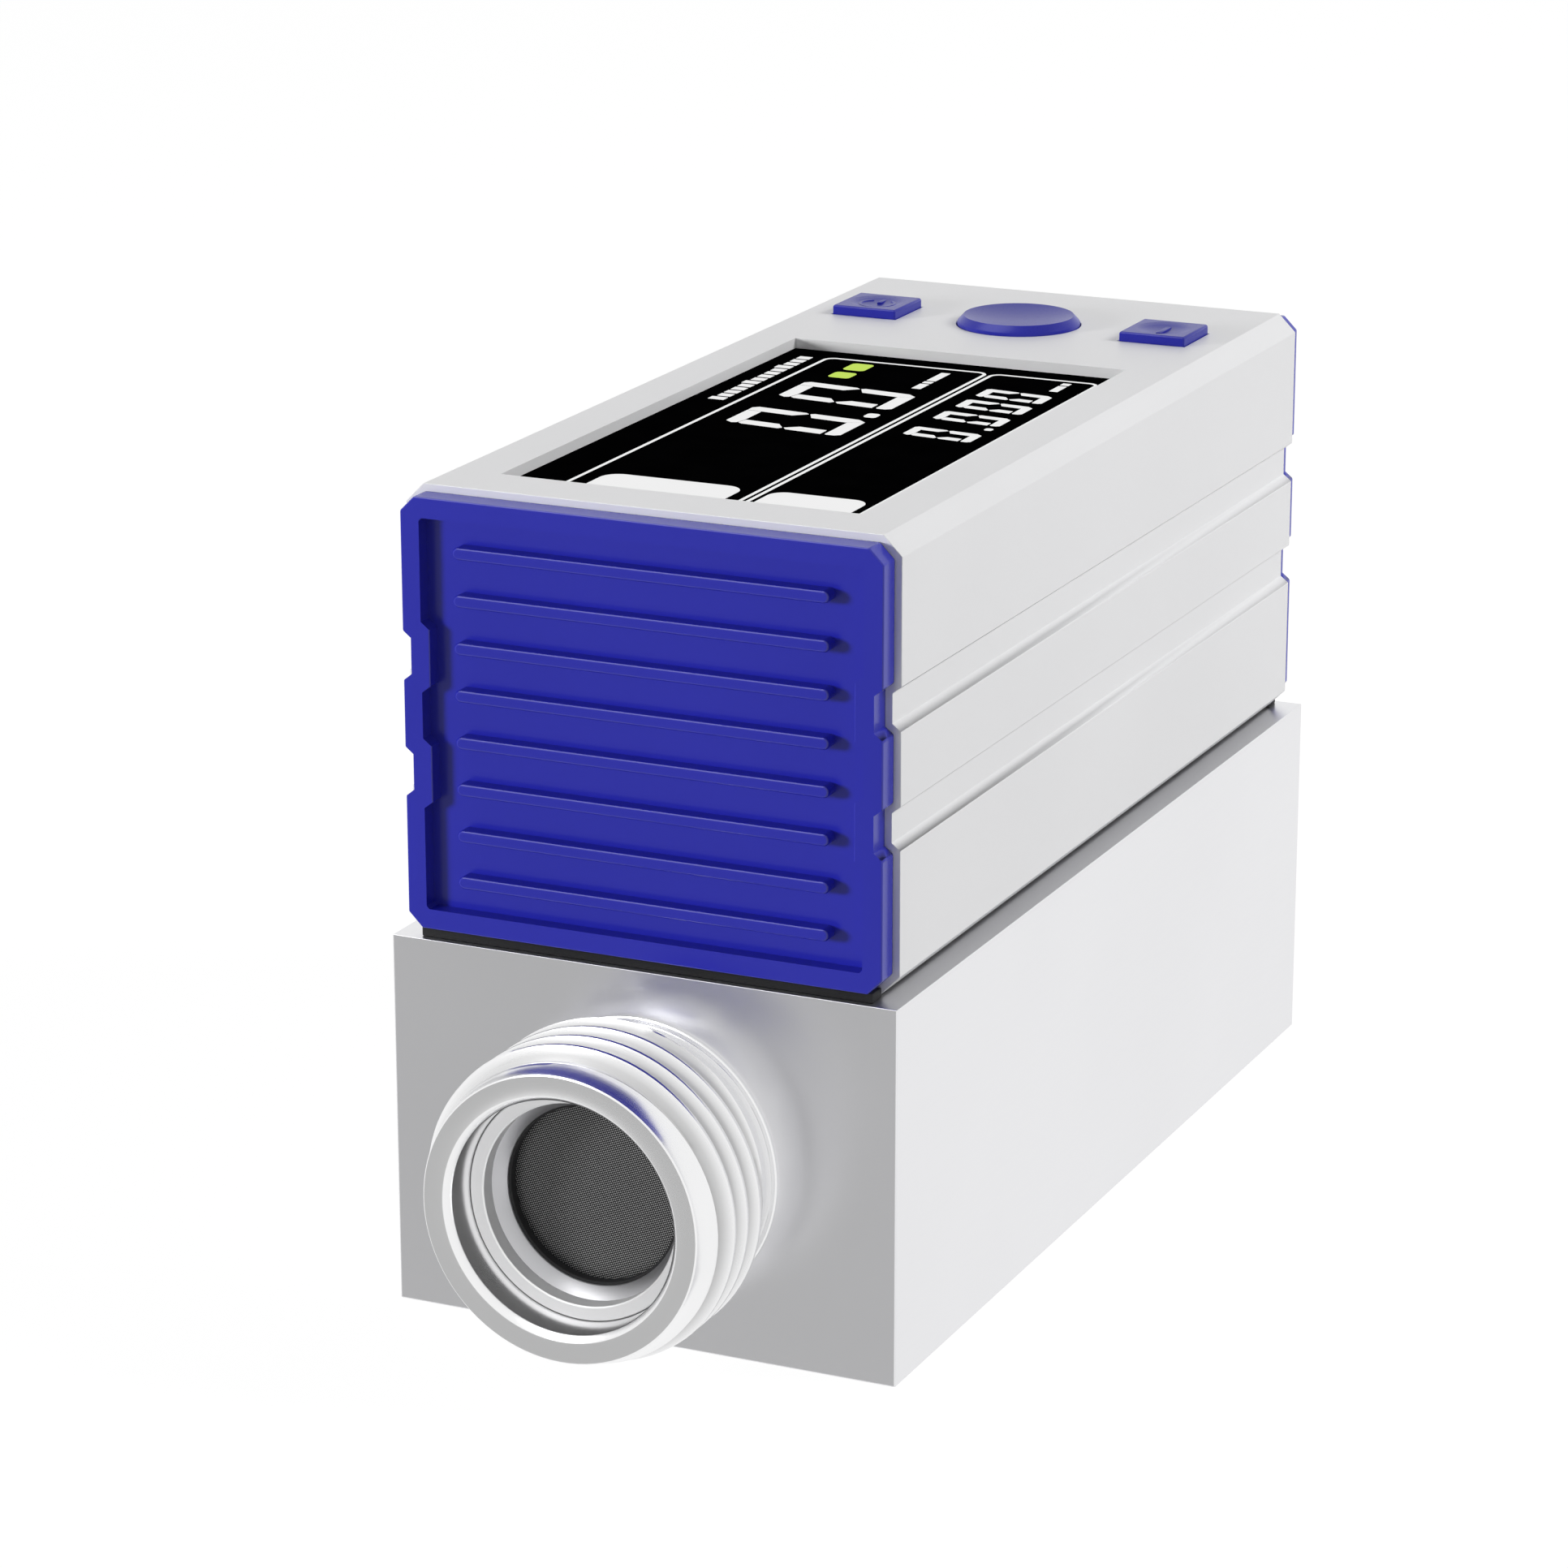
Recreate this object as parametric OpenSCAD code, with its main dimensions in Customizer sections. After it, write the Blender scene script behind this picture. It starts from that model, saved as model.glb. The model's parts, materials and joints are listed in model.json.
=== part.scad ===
// Thermal mass flow meter with a machined flow block, two threaded ports and a display housing
// X runs across the block, Y along the flow, Z up, and the origin is under the middle of the block

/* [Flow block] */
// Width of the flow block across the flow
block_w = 35; // [34:0.5:40]
// Length of the flow block along the flow
block_l = 74.1; // [74:0.1:90]
// Height of the flow block
block_h = 24.9; // [24.5:0.1:30]
// Height of the flow axis above the underside
axis_z = 12.4; // [12:0.1:13]
// Diameter of the bore that the gas flows through
flow_d = 11.2; // [10:0.1:11.6]

/* [Ports] */
// Length of a port in front of the block
port_l = 11.45; // [11:0.05:14]
// Outer diameter of the pipe thread
thread_d = 20.955; // [20.5:0.005:21.5]
// Length of the thread at its full diameter
thread_l = 5.75; // [5:0.05:6]
// Drop of the end face's outer edge below the thread
tip_drop = 1.0975; // [0.8:0.0005:1.4]
// Length of the taper from the end face to the thread
tip_taper = 2.38; // [2:0.02:2.6]
// Depth of the relief neck behind the thread
relief_depth = 1.3275; // [1.25:0.0005:1.6]
// Length of the slope from the thread to the relief neck
relief_slope = 0.7; // [0.3:0.05:1]
// Width of the collar that seats on the block, around the relief neck
collar_step = 0.4; // [0.2:0.05:1.2]
// Thickness of the collar
collar_t = 0.35; // [0.3:0.05:0.8]
// Width of the lip chamfer around the counterbore
lip_w = 0.36; // [0.2:0.02:0.6]
// Depth of the lip chamfer at the mouth
lip_l = 0.45; // [0.3:0.05:0.8]
// Diameter of the counterbore that holds the screen stack
seat_d = 15.2; // [14.9:0.05:15.4]
// Length of the spigot inside the block
spigot_l = 6; // [5:0.25:6.5]
// Diameter of the spigot
spigot_d = 17; // [16.8:0.1:17.6]

/* [Screens] */
// Depth of the retaining ring below the end face
ring_depth = 2.75; // [2:0.05:3]
// Width of the retaining ring's front face
ring_face_w = 0.93; // [0.75:0.01:1.2]
// Width of the retaining ring at its throat
ring_throat_w = 1.65; // [1.4:0.05:1.7]
// Length of the retaining ring's throat
ring_throat_l = 0.08; // [0.05:0.01:0.3]
// Length of the retaining ring
ring_l = 2; // [1.9:0.05:2.2]
// Thickness of the black ring between the retaining ring and the screen
screen_gasket_t = 0.7; // [0.5:0.05:0.8]
// Width of the black ring
screen_gasket_w = 1.8; // [1.7:0.05:1.9]
// Thickness of the wire screen
screen_t = 0.3; // [0.2:0.05:0.4]
// Distance from one screen wire to the next
screen_pitch = 0.8; // [0.75:0.05:1.2]
// Width of a screen wire
screen_wire = 0.25; // [0.2:0.05:0.4]

/* [Housing] */
// Width of the housing
housing_w = 33.7; // [33:0.1:38]
// Length of the housing
housing_l = 70.3; // [70:0.1:80]
// Height of the housing
housing_h = 29.05; // [28.5:0.05:34]
// Wall of the housing
wall = 1.8; // [1.6:0.1:2]
// Chamfer on the long edges of the housing
housing_chamfer = 1.24; // [1.1:0.02:1.6]
// Distance of each side groove from the middle of the height
groove_z = 3.78; // [3.5:0.02:4.4]
// Height of a side groove at its mouth
groove_mouth = 2.85; // [2.4:0.05:3.2]
// Height of each sloped flank of a side groove
groove_flank = 0.475; // [0.3:0.005:0.7]
// Depth of a side groove
groove_depth = 0.6; // [0.4:0.05:0.8]
// Thickness of the gasket under the housing
base_gasket_t = 0.2; // [0.15:0.05:0.6]

/* [End caps] */
// Thickness of an end cap outside the housing
cap_t = 1.71; // [1.6:0.01:2.4]
// Step from the housing's outline to the cap's outline
cap_inset = 0.46; // [0.3:0.02:0.7]
// Width of the cap's rim
cap_rim = 1.32; // [1.1:0.02:1.6]
// Depth of the ribbed recess in the cap
cap_recess = 1.05; // [0.8:0.05:1.1]
// Depth that the cap's plug reaches into the housing
plug_l = 2; // [1.8:0.1:2.4]
// Wall of the cap's plug
plug_wall = 1.2; // [1:0.1:1.4]
// Number of ribs on a cap
rib_count = 8; // [4:1:8]
// Distance from the top and the underside of the housing to the nearest rib
rib_margin = 3.429; // [3.2:0.001:4.6]
// Distance from the sides of the housing to the ends of the ribs
rib_side = 4.05; // [3.6:0.05:5.5]
// Thickness of a rib
rib_t = 0.8; // [0.6:0.05:1.2]
// Rounding of a rib's front edges
rib_round = 0.2; // [0.1:0.05:0.25]

/* [Display] */
// Width of the housing's top beside the display opening
display_side = 4.5; // [4.35:0.05:5.5]
// Distance from the rear end of the housing to the display opening
display_back = 21.89; // [21.6:0.01:26]
// Distance from the front end of the housing to the display opening
display_front = 4.11; // [4.1:0.01:5]
// Depth of the window below the top of the housing
display_depth = 0.71; // [0.5:0.01:1]
// Overlap of the housing's lip over the window
display_lip = 0.7; // [0.5:0.05:0.8]
// Thickness of the display panel
panel_t = 1.6; // [1.2:0.1:1.8]

/* [Keys] */
// Width of the square keys
key_w = 4.85; // [4.4:0.05:5]
// Diameter of the round key at the housing's surface
round_key_d = 8.68; // [8:0.02:9]
// Step from the round key's edge in to its rim
round_rim_step = 0.44; // [0.3:0.02:0.8]
// Height of the round key's vertical edge above the housing
round_edge_h = 0.2; // [0.15:0.05:0.3]
// Height of the keys above the housing
key_h = 0.67; // [0.6:0.01:0.9]
// Distance from the side of the housing to the middle of a square key
key_side = 5.92; // [5.8:0.01:6.2]
// Distance from the rear end of the housing to the keys
key_back = 10.95; // [10.5:0.05:12]
// Travel of a key
key_travel = 0.5; // [0.3:0.05:0.5]
// Gap between a key and its hole
key_gap = 0.08; // [0.05:0.01:0.1]
// Diameter of the finger dish in a square key
dish_d = 4; // [3:0.1:4.2]
// Depth of the finger dish in a square key
dish_depth = 0.28; // [0.15:0.01:0.35]
// Depth of the finger dish in the round key
round_dish_depth = 0.45; // [0.3:0.01:0.5]

/* [Socket] */
// Outer diameter of the socket's thread
socket_d = 12; // [11.8:0.1:12.4]
// Length of the socket in front of its flange
socket_l = 8.5; // [8:0.1:10]
// Width of the socket's flange around the thread
socket_flange_w = 2; // [1.8:0.1:2.5]
// Thickness of the socket's flange
socket_flange_t = 2; // [1.8:0.1:2.4]
// Wall of the socket's barrel at the thread
socket_wall = 1.6; // [1.5:0.05:1.7]
// Length of the socket's barrel behind the cap's outer face
socket_tail_l = 6.5; // [6:0.1:7]
// Diameter of a contact pin
contact_d = 1; // [0.8:0.05:1.2]
// Distance from the socket's wall to the middle of each contact pin
contact_side = 1.8; // [1.7:0.05:2.1]

/* [Mounting] */
// Distance across the flow between the tapped holes under the block
mount_x = 25; // [22:0.5:26]
// Distance along the flow between the tapped holes under the block
mount_y = 50; // [40:0.5:52]
// Diameter of the tapped holes under the block
mount_d = 3.3; // [2.5:0.1:4.2]
// Depth of the tapped holes under the block
mount_depth = 7; // [5:0.5:8]

/* [Hidden] */

$fn = 64;
// Overrun of every cut past the face that it opens
over = 1;
// Gap between pieces that are fixed together
fit = 0.05;

// Ports, measured from the end face inwards
port_reach = block_l / 2 + port_l;
thread_r = thread_d / 2;
tip_r = thread_r - tip_drop;
relief_r = thread_r - relief_depth;
collar_r = relief_r + collar_step;
seat_r = seat_d / 2;
mouth_r = seat_r + lip_w;
ring_step_r = seat_r - fit - ring_face_w;
ring_throat_r = seat_r - fit - ring_throat_w;
screen_open_r = seat_r - fit - screen_gasket_w;
thread_end = tip_taper + thread_l;
ring_step_l = ring_l - ring_step_r + ring_throat_r - ring_throat_l;
ring_end = ring_depth + ring_l;
screen_top = ring_end + screen_gasket_t;
seat_end = screen_top + screen_t;
spigot_r = spigot_d / 2;
port_seal_cord = 0.9;
port_seal_depth = port_seal_cord + fit;
port_seal_width = port_seal_cord + 4 * fit;
port_seal_at = port_l + spigot_l / 2;

// Flow straightener, clamped between the inlet spigot and a step in the bore
straightener_l = 3;
straightener_rim = 0.95;
straightener_hole_d = 1.7;
straightener_pitch = 2.15;
straightener_rings = 2;
straightener_r = flow_d / 2 + straightener_rim;

// Sensor, let into the top of the block and held by two screws
carrier_w = 17.6;
carrier_l = 11.6;
carrier_corner = 2;
carrier_gap = 0.2;
carrier_recess = 3;
carrier_t = 2.6;
sensor_screw_head_d = 4.4;
sensor_screw_head_h = 1.5;
sensor_screw_d = 2;
sensor_screw_l = 6;
sensor_screw_x = carrier_w / 2 - sensor_screw_head_d / 2 - fit;
sensor_cord = 1;
sensor_seal_gap = 0.15;
stem_wall = 0.75;
stem_r = sensor_screw_x - sensor_screw_d / 2 - fit - stem_wall - 2 * sensor_seal_gap - sensor_cord;
stem_gap = 0.1;
stem_reach = 0.4;
blade_w = 0.8;
blade_side = 0.95;
blade_l = 2 * (stem_r - blade_side);
blade_below_axis = 1.4;
chip_t = 0.2;
chip_share = 0.5;
chip_l = blade_l * chip_share;
chip_h = 3;
sensor_board_gap = 0.15;
sensor_board_edge = 0.3;
sensor_board_w = 2 * (sensor_screw_x - sensor_screw_head_d / 2 - sensor_board_gap);
sensor_board_l = carrier_l - 2 * sensor_board_edge;
sensor_board_t = 1;
ribbon_side = 1.2;
ribbon_w = sensor_board_w - 2 * ribbon_side;
ribbon_t = 0.3;
pocket_floor = block_h - carrier_recess;
carrier_top = pocket_floor + carrier_t;
sensor_board_top = carrier_top + sensor_board_t;
blade_low = axis_z - blade_below_axis;
stem_low = axis_z + flow_d / 2 - stem_reach;

// Screws, as head diameter, head height, shank diameter and shank length
housing_screw_head_d = 5.5;
housing_screw_head_h = 1.9;
housing_screw_d = 2.9;
housing_screw_l = 7.5;
board_screw_head_d = 4.5;
board_screw_head_h = 1.6;
board_screw_d = 2.4;
board_screw_l = 5;
screw_clearance = 0.15;
tapped_extra = 1;
socket_key_share = 0.5;
drive_depth_share = 0.55;

// Housing, standing on the base gasket
housing_z = block_h + base_gasket_t;
housing_top = housing_z + housing_h;
housing_mid = housing_z + housing_h / 2;
housing_end = housing_l / 2;
floor_z = housing_z + wall;
ceiling_z = housing_top - wall;
inner_half_w = housing_w / 2 - wall - groove_depth;
least_chamfer = 0.2;
groove_floor = groove_mouth - 2 * groove_flank;
sensor_window_gap = 1.2;
gasket_inset = 0.3;

// End caps
cap_end = housing_end + cap_t;
cap_floor = cap_end - cap_recess;
plug_gap = 0.1;
cap_seal_t = 0.8;
cap_seal_depth = 0.6;
cap_seal_at = housing_end - plug_l / 2;
pad_margin = 0.8;
rib_gap = 0.4;
rib_l = housing_w - 2 * rib_side;
rib_pitch = (housing_h - 2 * rib_margin - rib_t) / (rib_count - 1);

// Boards and their standoffs
board_t = 1.6;
board_gap = 0.55;
board_end_gap = 0.85;
board_w = 2 * (inner_half_w - board_gap);
board_l = housing_l - 2 * (plug_l + board_end_gap);
panel_room = 2.15;
board_top = ceiling_z - panel_t - panel_room;
board_low = board_top - board_t;
standoff_d = 5.2;
standoff_edge = 0.1;
standoff_x = board_w / 2 - standoff_d / 2 - standoff_edge;
standoff_y = board_l / 2 - standoff_d / 2 - standoff_edge;
stud_d = 2.4;
housing_screw_x = inner_half_w - housing_screw_head_d / 2 - board_gap;
housing_screw_gap = 1.9;
housing_screw_y = standoff_y - standoff_d / 2 - housing_screw_gap - housing_screw_head_d / 2;
chip_w = 10;
chip_body_t = 1.4;
coil_d = 8;
coil_h = 5;
chip_y = board_l / 4;

// Display, behind the housing's lip
display_w = housing_w - 2 * display_side;
display_l = housing_l - display_front - display_back;
display_y = display_front + display_l / 2 - housing_end;
window_w = display_w + 2 * display_lip;
window_l = display_l + 2 * display_lip;
window_low = housing_top - wall;
window_top = housing_top - display_depth;
panel_step = 0.35;
panel_w = window_w - 2 * panel_step;
panel_l = window_l - 2 * panel_step;
frame_wall = 1.1;
frame_w = window_w + 2 * frame_wall;
frame_l = window_l + 2 * frame_wall - 2 * panel_step;
frame_ledge = 3;
frame_lift = 0.2;

// Keys and their switches
key_spacing = housing_w / 2 - key_side;
key_y = housing_end - key_back;
round_key_r = round_key_d / 2;
round_rim_r = round_key_r - round_rim_step;
key_top = housing_top + key_h;
key_edge = 0.12;
key_flange = 0.6;
key_flange_t = 0.8;
key_flange_z = ceiling_z - fit - key_flange_t;
switch_w = 4.5;
switch_gap = 0.3;
switch_top = key_flange_z - key_travel - switch_gap;
plunger_d = 2.2;
plunger_gap = 0.05;
plunger_l = 1.9;
plunger_room = 0.1;

// Round socket in the rear cap
socket_z = housing_mid;
socket_flange_d = socket_d + 2 * socket_flange_w;
socket_bore_d = socket_d - 2 * socket_wall;
contact_circle_d = socket_bore_d - 2 * contact_side;
socket_gap = 0.1;
socket_lead = 0.6;
socket_end = socket_flange_t + socket_l;
socket_cord = 1;
socket_seal_d = socket_d + 2 * socket_gap + socket_cord + 4 * fit;
socket_nut_side = 1.5;
socket_nut_w = socket_d + 2 * socket_nut_side;
socket_nut_t = 2.5;
contact_below_mouth = 2.4;
contact_tail = 1.6;
coding_w = 1.2;
coding_h = 0.8;
contact_count = 4;

// Corner of a leg that shrinks as its outline moves inwards
function shrunk_chamfer(inset) = max(least_chamfer, housing_chamfer - inset * (2 - sqrt(2)));

// Growth of a groove in an outline that moves inwards
function groove_growth(inset) = inset * tan(atan(groove_depth / groove_flank) / 2);

// Right half of the housing's outline, from the bottom up
function right_half(inset) = [
    [housing_w / 2 - inset - shrunk_chamfer(inset), inset - housing_h / 2],
    [housing_w / 2 - inset, inset + shrunk_chamfer(inset) - housing_h / 2],
    for (side = [-1, 1])
        each [
            [housing_w / 2 - inset, side * groove_z - groove_mouth / 2 - groove_growth(inset)],
            [housing_w / 2 - inset - groove_depth, side * groove_z - groove_floor / 2 - groove_growth(inset)],
            [housing_w / 2 - inset - groove_depth, side * groove_z + groove_floor / 2 + groove_growth(inset)],
            [housing_w / 2 - inset, side * groove_z + groove_mouth / 2 + groove_growth(inset)]
        ],
    [housing_w / 2 - inset, housing_h / 2 - inset - shrunk_chamfer(inset)],
    [housing_w / 2 - inset - shrunk_chamfer(inset), housing_h / 2 - inset]
];

// Points of one list from the last to the first, on the other side of the middle
function mirrored(points) = [for (i = [len(points) - 1 : -1 : 0]) [-points[i][0], points[i][1]]];

// Outline of the housing, moved inwards by inset
module housing_outline(inset) {
    polygon(concat(right_half(inset), mirrored(right_half(inset))));
}

// Rectangle with round corners
module round_rect(width, length, corner) {
    square([width - 2 * corner, length], center = true);
    square([width, length - 2 * corner], center = true);
    for (side_x = [-1, 1], side_y = [-1, 1])
        translate([side_x * (width / 2 - corner), side_y * (length / 2 - corner)])
            circle(r = corner);
}

// Rectangle with cut corners
module cut_rect(width, length, corner) {
    polygon([
        [corner - width / 2, -length / 2], [width / 2 - corner, -length / 2],
        [width / 2, corner - length / 2], [width / 2, length / 2 - corner],
        [width / 2 - corner, length / 2], [corner - width / 2, length / 2],
        [-width / 2, length / 2 - corner], [-width / 2, corner - length / 2]
    ]);
}

// Block with a chamfer on each of its twelve edges, standing on the ground
module chamfered_block(width, length, height, edge) {
    intersection() {
        linear_extrude(height)
            cut_rect(width, length, edge);
        along_y(-length / 2, length)
            translate([0, height / 2])
                cut_rect(width, height, edge);
        rotate([0, 0, 90])
            along_y(-width / 2, width)
                translate([0, height / 2])
                    cut_rect(length, height, edge);
    }
}

// Extrusion of an outline of X and Z along Y
module along_y(start, length) {
    translate([0, start + length, 0])
        rotate([90, 0, 0])
            linear_extrude(length)
                children();
}

// Children turned about the flow axis of the inlet, with their depth measured from its end face
module on_inlet() {
    translate([0, -port_reach, axis_z])
        rotate([-90, 0, 0])
            children();
}

// The inlet's children, on the outlet
module on_outlet() {
    mirror([0, 1, 0])
        on_inlet()
            children();
}

// Children turned about the socket's axis, with their height measured from the cap's outer face
module on_socket() {
    translate([0, cap_end, socket_z])
        rotate([-90, 0, 0])
            children();
}

// Screw with its head on the ground, its shank below and a hexagonal drive
module screw(head_d, head_h, shank_d, shank_l) {
    difference() {
        union() {
            cylinder(d = head_d, h = head_h);
            translate([0, 0, -shank_l])
                cylinder(d = shank_d, h = shank_l + head_h / 2);
        }
        translate([0, 0, head_h * (1 - drive_depth_share)])
            cylinder(d = head_d * socket_key_share, h = head_h + over, $fn = 6);
    }
}

// Places of the four housing screws, by number
function corner_side(number) = [number % 2 == 1 ? -1 : 1, number < 3 ? -1 : 1];

// Threaded port with its relief neck, collar and spigot
module port_body() {
    color("gainsboro")
        difference() {
            rotate_extrude()
                polygon([
                    [flow_d / 2, 0],
                    [tip_r, 0],
                    [thread_r, tip_taper],
                    [thread_r, thread_end],
                    [relief_r, thread_end + relief_slope],
                    [relief_r, port_l - collar_t],
                    [collar_r, port_l - collar_t],
                    [collar_r, port_l],
                    [spigot_r, port_l],
                    [spigot_r, port_seal_at - port_seal_width / 2],
                    [spigot_r - port_seal_depth, port_seal_at - port_seal_width / 2],
                    [spigot_r - port_seal_depth, port_seal_at + port_seal_width / 2],
                    [spigot_r, port_seal_at + port_seal_width / 2],
                    [spigot_r, port_l + spigot_l],
                    [flow_d / 2, port_l + spigot_l]
                ]);
            rotate_extrude()
                polygon([
                    [0, -over], [mouth_r, -over], [mouth_r, 0], [seat_r, lip_l],
                    [seat_r, seat_end], [0, seat_end]
                ]);
        }
}

// Sealing ring on a port's spigot
module port_seal() {
    color("black")
        translate([0, 0, port_seal_at])
            rotate_extrude()
                translate([spigot_r - port_seal_depth + fit / 2 + port_seal_cord / 2, 0])
                    circle(d = port_seal_cord);
}

// Metal ring that holds the screen in a port
module screen_ring() {
    color("whitesmoke")
        rotate_extrude()
            polygon([
                [ring_step_r, ring_depth],
                [seat_r - fit, ring_depth],
                [seat_r - fit, ring_end],
                [ring_throat_r, ring_end],
                [ring_throat_r, ring_end - ring_throat_l],
                [ring_step_r, ring_depth + ring_step_l]
            ]);
}

// Black ring between the metal ring and the screen
module screen_gasket() {
    color("black")
        translate([0, 0, ring_end])
            difference() {
                cylinder(r = seat_r - fit, h = screen_gasket_t);
                translate([0, 0, -over])
                    cylinder(r = screen_open_r, h = screen_gasket_t + 2 * over);
            }
}

// Wire screen with square gaps inside a plain rim
module screen() {
    reach = floor(screen_open_r / screen_pitch);
    hole = screen_pitch - screen_wire;
    color("dimgray")
        translate([0, 0, screen_top])
            linear_extrude(screen_t)
                difference() {
                    circle(r = seat_r - fit);
                    for (i = [-reach : reach], j = [-reach : reach])
                        if (norm([i, j]) * screen_pitch + hole * sqrt(2) / 2 < screen_open_r)
                            translate([i * screen_pitch, j * screen_pitch])
                                square(hole, center = true);
                }
}

// Solid block with the flow bore, the port seats, the sensor pocket and the tapped holes
module flow_block() {
    color("darkgray")
        difference() {
            translate([-block_w / 2, -block_l / 2, 0])
                cube([block_w, block_l, block_h]);
            on_inlet()
                cylinder(d = flow_d, h = 2 * port_reach);
            on_inlet()
                cylinder(r = spigot_r + fit, h = port_l + spigot_l + fit);
            on_outlet()
                cylinder(r = spigot_r + fit, h = port_l + spigot_l + fit);
            on_inlet()
                cylinder(r = straightener_r + fit, h = port_l + spigot_l + straightener_l + fit);
            translate([0, 0, pocket_floor])
                linear_extrude(carrier_recess + over)
                    round_rect(carrier_w + 2 * carrier_gap, carrier_l + 2 * carrier_gap,
                        carrier_corner + carrier_gap);
            translate([0, 0, axis_z])
                cylinder(r = stem_r + stem_gap, h = block_h);
            translate([0, 0, pocket_floor - sensor_cord - fit])
                cylinder(r = stem_r + 2 * sensor_seal_gap + sensor_cord, h = carrier_recess);
            for (side = [-1, 1])
                translate([side * sensor_screw_x, 0, carrier_top - sensor_screw_l - tapped_extra])
                    cylinder(d = sensor_screw_d + 2 * fit, h = block_h);
            for (number = [1 : 4])
                translate([corner_side(number)[0] * housing_screw_x, corner_side(number)[1] * housing_screw_y,
                    floor_z - housing_screw_l - tapped_extra])
                    cylinder(d = housing_screw_d + 2 * fit, h = block_h);
            for (side_x = [-1, 1], side_y = [-1, 1])
                translate([side_x * mount_x / 2, side_y * mount_y / 2, -over])
                    cylinder(d = mount_d, h = mount_depth + over);
        }
}

// Disc of parallel holes that calms the flow
module flow_straightener() {
    color("silver")
        translate([0, -block_l / 2 + spigot_l + fit, axis_z])
            rotate([-90, 0, 0])
                difference() {
                    cylinder(r = straightener_r, h = straightener_l);
                    for (ring = [0 : straightener_rings], i = [0 : max(1, 6 * ring) - 1])
                        rotate([0, 0, i * 360 / max(1, 6 * ring)])
                            translate([ring * straightener_pitch, 0, -over])
                                cylinder(d = straightener_hole_d, h = straightener_l + 2 * over);
                }
}

// Plug that carries the sensor blade into the bore
module sensor_carrier() {
    color("dimgray")
        difference() {
            union() {
                translate([0, 0, pocket_floor])
                    linear_extrude(carrier_t)
                        round_rect(carrier_w, carrier_l, carrier_corner);
                translate([0, 0, stem_low])
                    cylinder(r = stem_r, h = carrier_top - stem_low);
                translate([-blade_w / 2, -blade_l / 2, blade_low])
                    cube([blade_w, blade_l, carrier_top - blade_low]);
            }
            for (side = [-1, 1])
                translate([side * sensor_screw_x, 0, pocket_floor - over])
                    cylinder(d = sensor_screw_d + 2 * screw_clearance, h = carrier_t + 2 * over);
        }
}

// Sealing ring round the sensor's stem
module sensor_seal() {
    color("black")
        translate([0, 0, pocket_floor - sensor_cord / 2 - fit / 2])
            rotate_extrude()
                translate([stem_r + sensor_seal_gap + sensor_cord / 2, 0])
                    circle(d = sensor_cord);
}

// Heated sensor chip on the side of the blade
module sensor_chip() {
    color("gold")
        translate([blade_w / 2, -chip_l / 2, blade_low])
            cube([chip_t, chip_l, chip_h]);
}

// Small board on top of the sensor's carrier
module sensor_board() {
    color("green")
        translate([-sensor_board_w / 2, -sensor_board_l / 2, carrier_top])
            cube([sensor_board_w, sensor_board_l, sensor_board_t]);
}

// Flat ribbon from the sensor's board to the main board
module sensor_ribbon() {
    color("white")
        translate([-ribbon_w / 2, -ribbon_t / 2, sensor_board_top])
            cube([ribbon_w, ribbon_t, board_low - sensor_board_top]);
}

// Screw through one side of the sensor's carrier
module sensor_screw(side) {
    color("silver")
        translate([side * sensor_screw_x, 0, carrier_top])
            screw(sensor_screw_head_d, sensor_screw_head_h, sensor_screw_d, sensor_screw_l);
}

// Flat gasket between the block and the housing
module base_gasket() {
    color("black")
        translate([0, 0, block_h])
            linear_extrude(base_gasket_t)
                difference() {
                    square([housing_w - 2 * (housing_chamfer + gasket_inset), housing_l - 2 * gasket_inset],
                        center = true);
                    sensor_window();
                    for (number = [1 : 4])
                        translate([corner_side(number)[0] * housing_screw_x,
                            corner_side(number)[1] * housing_screw_y])
                            circle(d = housing_screw_d + 2 * screw_clearance);
                }
}

// Window above the sensor in the housing's floor and in the gasket
module sensor_window() {
    round_rect(carrier_w + 2 * sensor_window_gap, carrier_l + 2 * sensor_window_gap, carrier_corner);
}

// Extruded housing with grooved sides, open at both ends
module housing() {
    color("lightgray")
        difference() {
            translate([0, 0, housing_mid])
                along_y(-housing_end, housing_l)
                    housing_outline(0);
            translate([0, 0, housing_mid])
                along_y(-housing_end - over, housing_l + 2 * over)
                    housing_outline(wall);
            translate([-display_w / 2, display_y - display_l / 2, ceiling_z - over])
                cube([display_w, display_l, wall + 2 * over]);
            translate([-window_w / 2 - fit, display_y - window_l / 2 - fit, ceiling_z - over])
                cube([window_w + 2 * fit, window_l + 2 * fit, wall - display_depth + over]);
            translate([0, key_y, ceiling_z - over])
                cylinder(r = round_key_r + key_gap, h = wall + 2 * over);
            for (side = [-1, 1])
                translate([side * key_spacing, key_y, ceiling_z - over])
                    linear_extrude(wall + 2 * over)
                        square(key_w + 2 * key_gap, center = true);
            translate([0, 0, housing_z - over])
                linear_extrude(wall + 2 * over)
                    sensor_window();
            for (number = [1 : 4])
                translate([corner_side(number)[0] * housing_screw_x, corner_side(number)[1] * housing_screw_y,
                    housing_z - over])
                    cylinder(d = housing_screw_d + 2 * screw_clearance, h = wall + 2 * over);
            for (number = [1 : 4])
                translate([corner_side(number)[0] * standoff_x, corner_side(number)[1] * standoff_y,
                    housing_z - over])
                    cylinder(d = stud_d + 2 * fit, h = wall + 2 * over);
        }
}

// Screw through the housing's floor into the block
module housing_screw(number) {
    color("silver")
        translate([corner_side(number)[0] * housing_screw_x, corner_side(number)[1] * housing_screw_y, floor_z])
            screw(housing_screw_head_d, housing_screw_head_h, housing_screw_d, housing_screw_l);
}

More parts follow.
